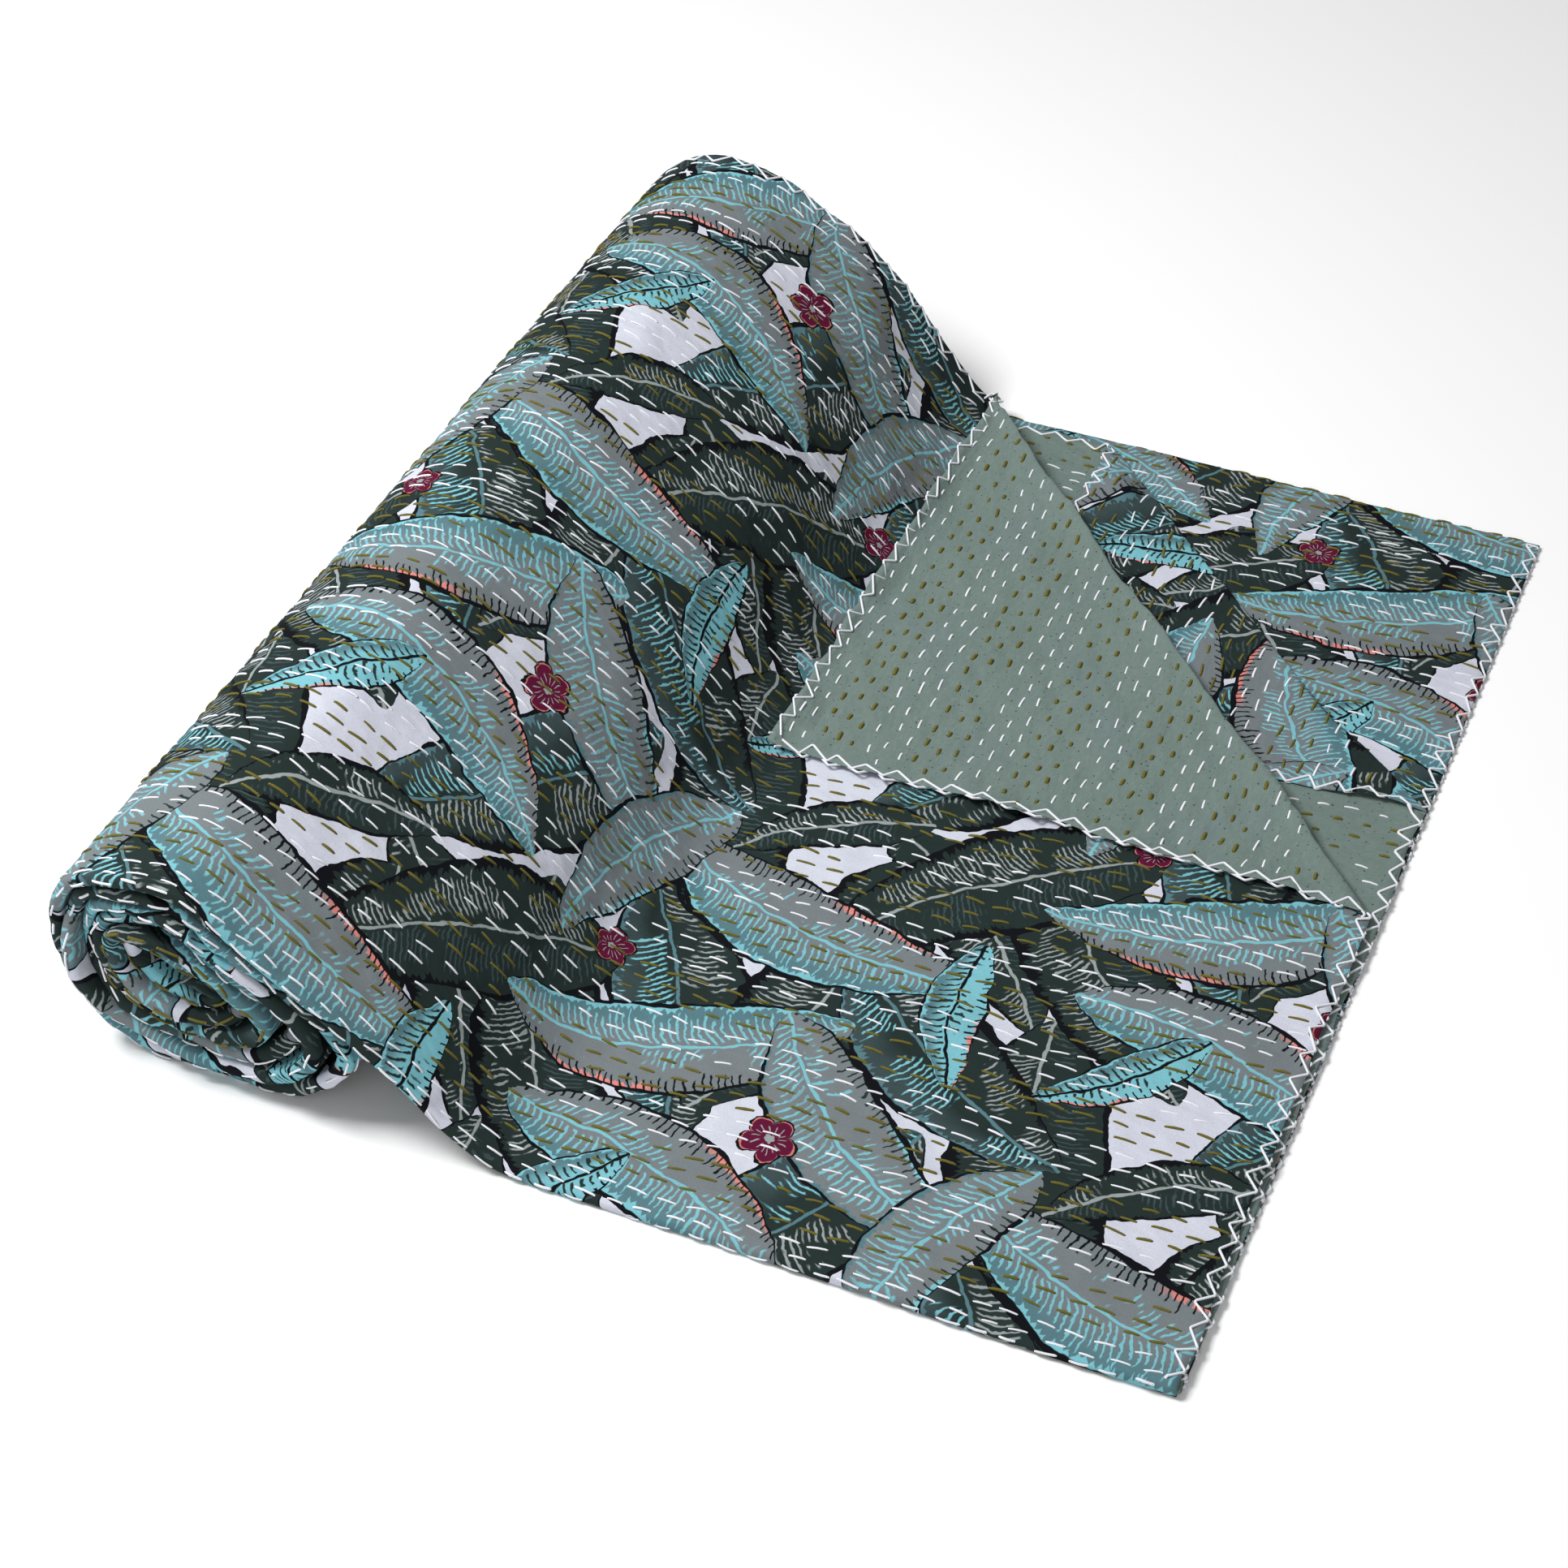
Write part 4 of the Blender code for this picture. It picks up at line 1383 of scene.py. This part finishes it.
def thread_tube(nodes, line, radius):
    """A tube along a line, with the share of the way round it kept for the thread's plies."""
    ring = {"Resolution": TUBE_SIDES, "Radius": radius}
    ring = nodes.geometry("CurvePrimitiveCircle", ring, {"mode": "RADIUS"})
    ring = store(nodes, ring, "around", nodes.geometry("SplineParameter", output="Factor"))
    return nodes.geometry("CurveToMesh", {"Curve": line, "Profile Curve": ring, "Fill Caps": True})


def moved(nodes, geometry, *ways):
    """Moves points by the sum of (direction, distance) pairs."""
    total, *others = (nodes.scaled(direction, distance) for direction, distance in ways)
    for other in others:
        total = nodes.vector("ADD", total, other)
    return nodes.geometry("SetPosition", {"Geometry": geometry, "Offset": total})


def finish_sewing(nodes, end, geometry, material):
    """Ends a tree: real geometry with its material."""
    geometry = nodes.geometry("RealizeInstances", {0: geometry})
    geometry = nodes.geometry("SetShadeSmooth", {0: geometry})
    geometry = nodes.geometry("SetMaterial", {"Geometry": geometry, "Material": material})
    nodes.tree.links.new(geometry.socket, end.inputs[0])
    return nodes.tree


def one_stitch(nodes):
    """A thread of length and radius 1 along X that comes up out of the cloth and dives back into it."""
    ends = {"Start": (-0.5, 0.0, 0.0), "End": (0.5, 0.0, 0.0)}
    line = nodes.geometry("CurvePrimitiveLine", ends)
    line = nodes.geometry("ResampleCurve", {"Curve": line, "Count": STITCH_SEGMENTS + 1})
    x, _, _ = nodes.split(nodes.geometry("InputPosition"))
    outward = (abs(x) * 2.0) ** 0.5 * x.math("SIGN") * 0.5
    values = {"Geometry": line, "Position": nodes.join(outward, 0.0, 0.0)}
    line = nodes.geometry("SetPosition", values)
    bow = (1.0 - (outward * outward) * 4.0).at_least(0.0)
    thickness = bow * (1.0 - STITCH_THINNEST) + STITCH_THINNEST
    line = nodes.geometry("SetCurveRadius", {"Curve": line, "Radius": thickness})
    tube = thread_tube(nodes, store(nodes, line, "along", outward), 1.0)
    x, _, _ = nodes.split(nodes.geometry("InputPosition"))
    height = (1.0 - x * x * 4.0).at_least(0.0) ** 0.6 * STITCH_ARCH - STITCH_DIVE
    return nodes.geometry("SetPosition", {"Geometry": tube, "Offset": nodes.join(0.0, 0.0, height)})


def random_between(nodes, low, high, seed, offset):
    """A random number for each point."""
    values = {2: low, 3: high, "Seed": seed + offset}
    return nodes.add("FunctionNodeRandomValue", values, {"data_type": "FLOAT"}, 1)


FLAT_THREAD = 0.7  # thread pulled tight lies flatter than it is wide
STITCH_SLIDE = 0.0022
STITCH_STRAY = 0.0007
THICKNESS_RANGE = (0.85, 1.15)


def running_stitch_tree():
    """Rows of hand running stitch along guide lines on the cloth."""
    inputs = (
        (GEOMETRY, "Rows"),
        (NUMBER, "Pitch", "Stitch Length", "Thread Radius", "Length Variation", "Turn Variation", "Missed"),
        (WHOLE, "Seed"),
        (MATERIAL, "Thread"),
    )
    outputs = ((GEOMETRY, "Stitches"),)
    nodes, given, end = group_tree("running_stitches", inputs, outputs, "GeometryNodeTree")
    seed = given["Seed"]
    rows = nodes.geometry("MeshToCurve", {"Mesh": given["Rows"]})
    points = nodes.geometry("CurveToPoints", {"Curve": rows, "Length": given["Pitch"]}, {"mode": "LENGTH"})
    _, tangent, _, _ = nodes.outputs(points)
    up = stored_vector(nodes, "up")
    slide = random_between(nodes, -STITCH_SLIDE, STITCH_SLIDE, seed, 1)
    stray = random_between(nodes, -STITCH_STRAY, STITCH_STRAY, seed, 2)
    sideways = nodes.vector("CROSS_PRODUCT", tangent, up)
    align = "FunctionNodeAlignRotationToVector"
    turned = nodes.add(align, {"Vector": tangent}, {"axis": "X"})
    turned = nodes.add(align, {"Rotation": turned, "Vector": up}, {"axis": "Z", "pivot_axis": "X"})
    spin = random_between(nodes, -1.0, 1.0, seed, 3) * given["Turn Variation"]
    euler = nodes.add("FunctionNodeEulerToRotation", {0: nodes.join(0.0, 0.0, spin)})
    turned = nodes.add("FunctionNodeRotateRotation", {0: turned, 1: euler}, {"rotation_space": "LOCAL"})
    length = given["Stitch Length"] * (
        1.0 + random_between(nodes, -1.0, 1.0, seed, 4) * given["Length Variation"]
    )
    radius = given["Thread Radius"] * random_between(nodes, *THICKNESS_RANGE, seed, 5)
    values = {
        "Points": moved(nodes, points, (tangent, slide), (sideways, stray)),
        "Selection": random_between(nodes, 0.0, 1.0, seed, 6) > given["Missed"],
        "Instance": one_stitch(nodes),
        "Rotation": turned,
        "Scale": nodes.join(length, radius, radius * FLAT_THREAD),
    }
    stitches = nodes.geometry("InstanceOnPoints", values)
    return finish_sewing(nodes, end, stitches, given["Thread"])


ZIGZAG_SLIDE = 0.0016
ZIGZAG_LEAN = 0.16  # share of the pitch by which the outer loops lean along the edge
OUTER_REACH = 1.2  # radii that they stand out past the edge
INNER_RISE = 0.7  # radii that the inner loops lie above the cloth
OUTER_DROP = CLOTH * 0.35  # how far the outer ones drop over the edge
LOOP_RADIUS = 0.0011
PLY_LENGTHS = 120.0  # how often the plies' pattern repeats in a metre


def zigzag_tree():
    """A thread that zigzags over a cut edge, along guide lines with the ways in and up at each point."""
    inputs = (
        (GEOMETRY, "Edges"),
        (NUMBER, "Pitch", "Depth", "Thread Radius", "Uneven"),
        (WHOLE, "Seed"),
        (MATERIAL, "Thread"),
    )
    outputs = ((GEOMETRY, "Zigzag"),)
    nodes, given, end = group_tree("edge_zigzag", inputs, outputs, "GeometryNodeTree")
    seed, radius = given["Seed"], given["Thread Radius"]
    edges = nodes.geometry("MeshToCurve", {"Mesh": given["Edges"]})
    values = {"Curve": edges, "Length": given["Pitch"] * 0.5}
    line = nodes.geometry("ResampleCurve", values, {"mode": "LENGTH"})
    odd = nodes.geometry("InputIndex") % 2.0
    even = 1.0 - odd
    uneven = 1.0 + random_between(nodes, -1.0, 1.0, seed, 1) * given["Uneven"]
    reach = odd * given["Depth"] * uneven - even * radius * OUTER_REACH
    height = odd * radius * INNER_RISE - even * OUTER_DROP
    lean = even * given["Pitch"] * ZIGZAG_LEAN
    slide = random_between(nodes, -ZIGZAG_SLIDE, ZIGZAG_SLIDE, seed, 2) + lean
    inward, up = (stored_vector(nodes, name) for name in ("inward", "up"))
    tangent = nodes.geometry("InputTangent")
    line = moved(nodes, line, (inward, reach), (up, height), (tangent, slide))
    values = {"Curve": line, "Radius": LOOP_RADIUS, "Count": 2, "Limit Radius": True}
    line = nodes.geometry("FilletCurve", values, {"mode": "POLY"})
    along = nodes.geometry("SplineParameter", output="Length") * PLY_LENGTHS
    tube = thread_tube(nodes, store(nodes, line, "along", along), radius)
    return finish_sewing(nodes, end, tube, given["Thread"])


def edge_line(s, v, inward_s, inward_v, side, start):
    """Guide for the zigzag over a cut edge: places, with the ways in and up."""
    w = side * CLOTH / 2
    places = carry(s, v, w)
    inside = carry(s + inward_s * NUDGE_IN, v + inward_v * NUDGE_IN, w)
    above = carry(s, v, w + side * NUDGE)
    named = {"inward": unit(inside - places), "up": unit(above - places)}
    places[:, 2] = np.maximum(places[:, 2], 2 * FLOOR_CLEARANCE)
    return places[start:], {k: a[start:] for k, a in named.items()}


EDGE_SAMPLE = 0.003
EDGE_STOP = 0.03  # the long edges' zigzag ends this near to the core
LOOSE_THREAD = 0.0024  # loops stand out past the turned corner's end edge, where both faces' cross
ON_CORNER = (TOP_CORNER_LEG - 0.030, TOP_CORNER_LEG - 0.005)


def edge_guides():
    """The cut edges that show: both long edges and the loose end, on both faces."""
    along = np.arange(LENGTH - EDGE_SAMPLE, EDGE_STOP, -EDGE_SAMPLE)
    across = np.arange(EDGE_SAMPLE, WIDTH - EDGE_SAMPLE, EDGE_SAMPLE)
    out = LOOSE_THREAD * (1.0 - smooth(*ON_CORNER, across))
    lines = []
    for side, start, end in ((FACE, 0, LENGTH + out), (BACK, 2, LENGTH + 0.0 * out)):
        lines.append(edge_line(along, 0.0 * along, 0.0, 1.0, side, start))
        lines.append(edge_line(along, 0.0 * along + WIDTH, 0.0, -1.0, side, start))
        lines.append(edge_line(end, across, -1.0, 0.0, side, start))
    return guide_mesh("edge_guides", lines)


# ---------------------------------------------------------------- operators
SEWN = []  # the pieces of sewing, as the operators make them
# How far from the loose end each cotton has its full grid, and then a thinner one.
FACE_REACHES = (0.30, PRINT_REACH)
BACK_REACHES = (0.38, 1.06)
# The panels' parts that show, across from where each panel begins.
FACE_SHOWN = {TOP: (0.0, 1.0), SECOND: (0.0, 0.28), INNER: (0.36, 1.0)}
BACK_SHOWN = {TOP: (0.0, 0.37), INNER: (0.28, 1.0)}
ROLL_GRID = 1.2  # the face's grid is this much wider along, past its first reach
HIDDEN_GAP = 0.10  # widest gaps between across lines, where little of the cloth shows
FACE_GAP = 0.045
BACK_GAP = 0.022
BACK_TOP_GAP = 0.020


def lines_at(along, reaches, levels):
    """Which across lines each along line has: fewer, the further it is from the loose end."""
    return [levels[np.searchsorted(reaches, LENGTH - s, side="right")] for s in along]


class QUILT_OT_cloths(bpy.types.Operator):
    """Make the printed face and the sage back"""

    bl_idname = "quilt.cloths"
    bl_label = "Cotton cloths"

    def execute(self, context):
        sizes = context.scene.quilt_cloth
        grid = sizes.grid

        across = panel_lines(FACE_SHOWN, ROW_GAP / 2, FACE_GAP)
        along = along_lines(FACE_REACHES, (grid, grid * ROLL_GRID))
        levels = (range(len(across)), kept_lines(across, FACE_GAP, (TOP,)), kept_lines(across, HIDDEN_GAP))
        kept = lines_at(along, FACE_REACHES, levels)
        face = cloth_sheet("printed_face", FACE, along, across, kept, printed_cotton(sizes))

        across = panel_lines(BACK_SHOWN, ROW_GAP / 2, BACK_GAP)
        along = along_lines(BACK_REACHES[:1], (grid,))
        thinner = kept_lines(across, HIDDEN_GAP, top_spacing=BACK_TOP_GAP)
        levels = (range(len(across)), thinner, kept_lines(across, HIDDEN_GAP))
        kept = lines_at(along, BACK_REACHES, levels)
        back = cloth_sheet("sage_back", BACK, along, across, kept, sage_cotton(sizes))
        for piece, slot in ((face, "printed_cotton"), (back, "sage_cotton")):
            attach(piece, "root")
            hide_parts(NODE)
        return {"FINISHED"}


# Painted shade for the grooves between a thread's plies, darker than each thread's own colour.
WHITE_PLY_GROOVE_SHADE = (0.66, 0.68, 0.74)
OLIVE_PLY_GROOVE_SHADE = (0.085, 0.072, 0.012)
# On the back: stitch length and thread radius, as shares of the settings.
BACK_STITCHES = {"white": (1.25, 1.0), "olive": (1.0, 1.28)}
MISSED = 0.015
ZIGZAG_SEED = 90
ZIGZAG_THREAD = 1.1  # the zigzag's thread is this much thicker than the rows'
ZIGZAG_UNEVEN = 0.30


def sew(tree, guide, name, inputs):
    """Makes one piece of sewing, and says what it rides on."""
    piece = made_by(tree, guide, name, inputs)
    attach(piece, "root")
    SEWN.append(piece)


class QUILT_OT_running_stitches(bpy.types.Operator):
    """Make the rows of running stitch on both faces"""

    bl_idname = "quilt.running_stitches"
    bl_label = "Running stitches"

    def execute(self, context):
        sewing = context.scene.quilt_stitches
        radius = {"white": sewing.white_radius, "olive": sewing.olive_radius}
        threads = {
            "white": thread("white_thread", sewing.white, WHITE_PLY_GROOVE_SHADE),
            "olive": thread("olive_thread", sewing.olive, OLIVE_PLY_GROOVE_SHADE),
        }
        tree = running_stitch_tree()
        for (colour, side), lines in stitch_guides(radius).items():
            longer, thicker = BACK_STITCHES[colour]
            if side == FACE:
                inputs = {
                    "Stitch Length": sewing.length,
                    "Thread Radius": radius[colour],
                    "Length Variation": 0.20,
                    "Turn Variation": 0.16,
                }
            else:
                inputs = {
                    "Stitch Length": sewing.back_length * longer,
                    "Thread Radius": radius[colour] * thicker,
                    "Length Variation": 0.32,
                    "Turn Variation": 0.12,
                }
            inputs |= {"Pitch": STITCH_PITCH, "Missed": MISSED, "Thread": threads[colour]}
            inputs["Seed"] = sewing.seed + 10 * len(SEWN)
            name = f"{colour}_stitches_{'face' if side == FACE else 'back'}"
            sew(tree, guide_mesh(name, lines), name, inputs)
        return {"FINISHED"}


class QUILT_OT_edge_zigzag(bpy.types.Operator):
    """Make the white zigzag over the cut edges"""

    bl_idname = "quilt.edge_zigzag"
    bl_label = "Edge zigzag"

    def execute(self, context):
        sewing = context.scene.quilt_stitches
        inputs = {
            "Pitch": sewing.zigzag_pitch,
            "Depth": sewing.zigzag_depth,
            "Thread Radius": sewing.white_radius * ZIGZAG_THREAD,
            "Uneven": ZIGZAG_UNEVEN,
            "Seed": sewing.seed + ZIGZAG_SEED,
            "Thread": bpy.data.materials["white_thread"],
        }
        sew(zigzag_tree(), edge_guides(), "edge_zigzag", inputs)
        return {"FINISHED"}


class QUILT_OT_declare(bpy.types.Operator):
    """A step that does nothing: the cut sizes of the two cloths are not stated here"""

    bl_idname = "quilt.declare"
    bl_label = "Cut sizes"

    def execute(self, context):
        return {"FINISHED"}


CAMERA_PLACE = (0.5020, -1.2886, 1.2226)
CAMERA_TURN = (math.radians(48.3), 0.0, math.radians(23.1))
CAMERA_LENS = 77.14
CAMERA_SENSOR = 36.0
# Place, what it faces, and its side in metres.
KEY_LIGHT = ((-1.05, -0.45, 1.85), (0.0, 0.0, 0.0), 0.8)
FILL_LIGHT = ((0.5, -2.2, 1.6), (0.0, 0.0, 0.05), 1.6)
SKY_STRENGTH = 0.29
FLOOR_COLOUR = (0.95, 0.95, 0.95, 1.0)


def lamp(name, place, target, size, power):
    """A square soft lamp that faces a point."""
    light = bpy.data.lights.new(name, "AREA")
    light.shape = "SQUARE"
    light.size = size
    light.energy = power
    piece = linked(name, light)
    piece.location = place
    piece.rotation_euler = (Vector(target) - Vector(place)).to_track_quat("-Z", "Y").to_euler()


class QUILT_OT_stage(bpy.types.Operator):
    """Make the floor, the soft lights and the camera"""

    bl_idname = "quilt.stage"
    bl_label = "Stage"

    def execute(self, context):
        stage = context.scene.quilt_stage
        bpy.ops.mesh.primitive_plane_add(size=2 * stage.floor_half, location=(0.0, 0.0, 0.0))
        floor = bpy.context.active_object
        floor.name = "floor"
        context.scene.view_settings.view_transform = "Standard"
        paper, shader, _ = new_material("pale_floor", 0.9)
        shader.inputs["Base Color"].default_value = FLOOR_COLOUR
        floor.data.materials.append(paper)
        lamp("key_light", *KEY_LIGHT, stage.key_power)
        lamp("fill_light", *FILL_LIGHT, stage.fill_power)
        world = context.scene.world or bpy.data.worlds.new("studio")
        context.scene.world = world
        world.use_nodes = True
        background = world.node_tree.nodes["Background"]
        background.inputs["Color"].default_value = (1.0, 1.0, 1.0, 1.0)
        background.inputs["Strength"].default_value = SKY_STRENGTH
        camera = bpy.data.cameras.new("camera")
        camera.lens = CAMERA_LENS
        camera.sensor_width = CAMERA_SENSOR
        eye = linked("camera", camera)
        eye.location = CAMERA_PLACE
        eye.rotation_euler = Euler(CAMERA_TURN)
        context.scene.camera = eye
        return {"FINISHED"}


STEPS = (QUILT_OT_cloths, QUILT_OT_running_stitches, QUILT_OT_edge_zigzag, QUILT_OT_declare, QUILT_OT_stage)
SETTINGS = (QuiltClothSettings, QuiltStitchSettings, QuiltStageSettings)


class QUILT_PT_panel(bpy.types.Panel):
    """The quilt's steps and settings"""

    bl_idname = "QUILT_PT_panel"
    bl_label = "Kantha Quilt"
    bl_space_type = "VIEW_3D"
    bl_region_type = "UI"
    bl_category = "Quilt"

    def draw(self, context):
        """The steps' buttons, and a box for each group of settings."""
        for step in STEPS:
            self.layout.operator(step.bl_idname)
        for group in (context.scene.quilt_cloth, context.scene.quilt_stitches, context.scene.quilt_stage):
            box = self.layout.box()
            for name in group.bl_rna.properties.keys():
                if name not in ("rna_type", "name"):
                    box.prop(group, name)


def register():
    """Adds the classes and the scene's settings."""
    for cls in (*SETTINGS, *STEPS, QUILT_PT_panel):
        bpy.utils.register_class(cls)
    bpy.types.Scene.quilt_cloth = PointerProperty(type=QuiltClothSettings)
    bpy.types.Scene.quilt_stitches = PointerProperty(type=QuiltStitchSettings)
    bpy.types.Scene.quilt_stage = PointerProperty(type=QuiltStageSettings)


def unregister():
    """Takes them away again."""
    del bpy.types.Scene.quilt_stage
    del bpy.types.Scene.quilt_stitches
    del bpy.types.Scene.quilt_cloth
    for cls in (QUILT_PT_panel, *reversed(STEPS), *reversed(SETTINGS)):
        bpy.utils.unregister_class(cls)


def main():
    """Makes the quilt with its stage."""
    register()
    bpy.ops.quilt.cloths()
    bpy.ops.quilt.running_stitches()
    bpy.ops.quilt.edge_zigzag()
    bpy.ops.quilt.declare()
    bpy.ops.quilt.stage()


if __name__ == "__main__":
    main()
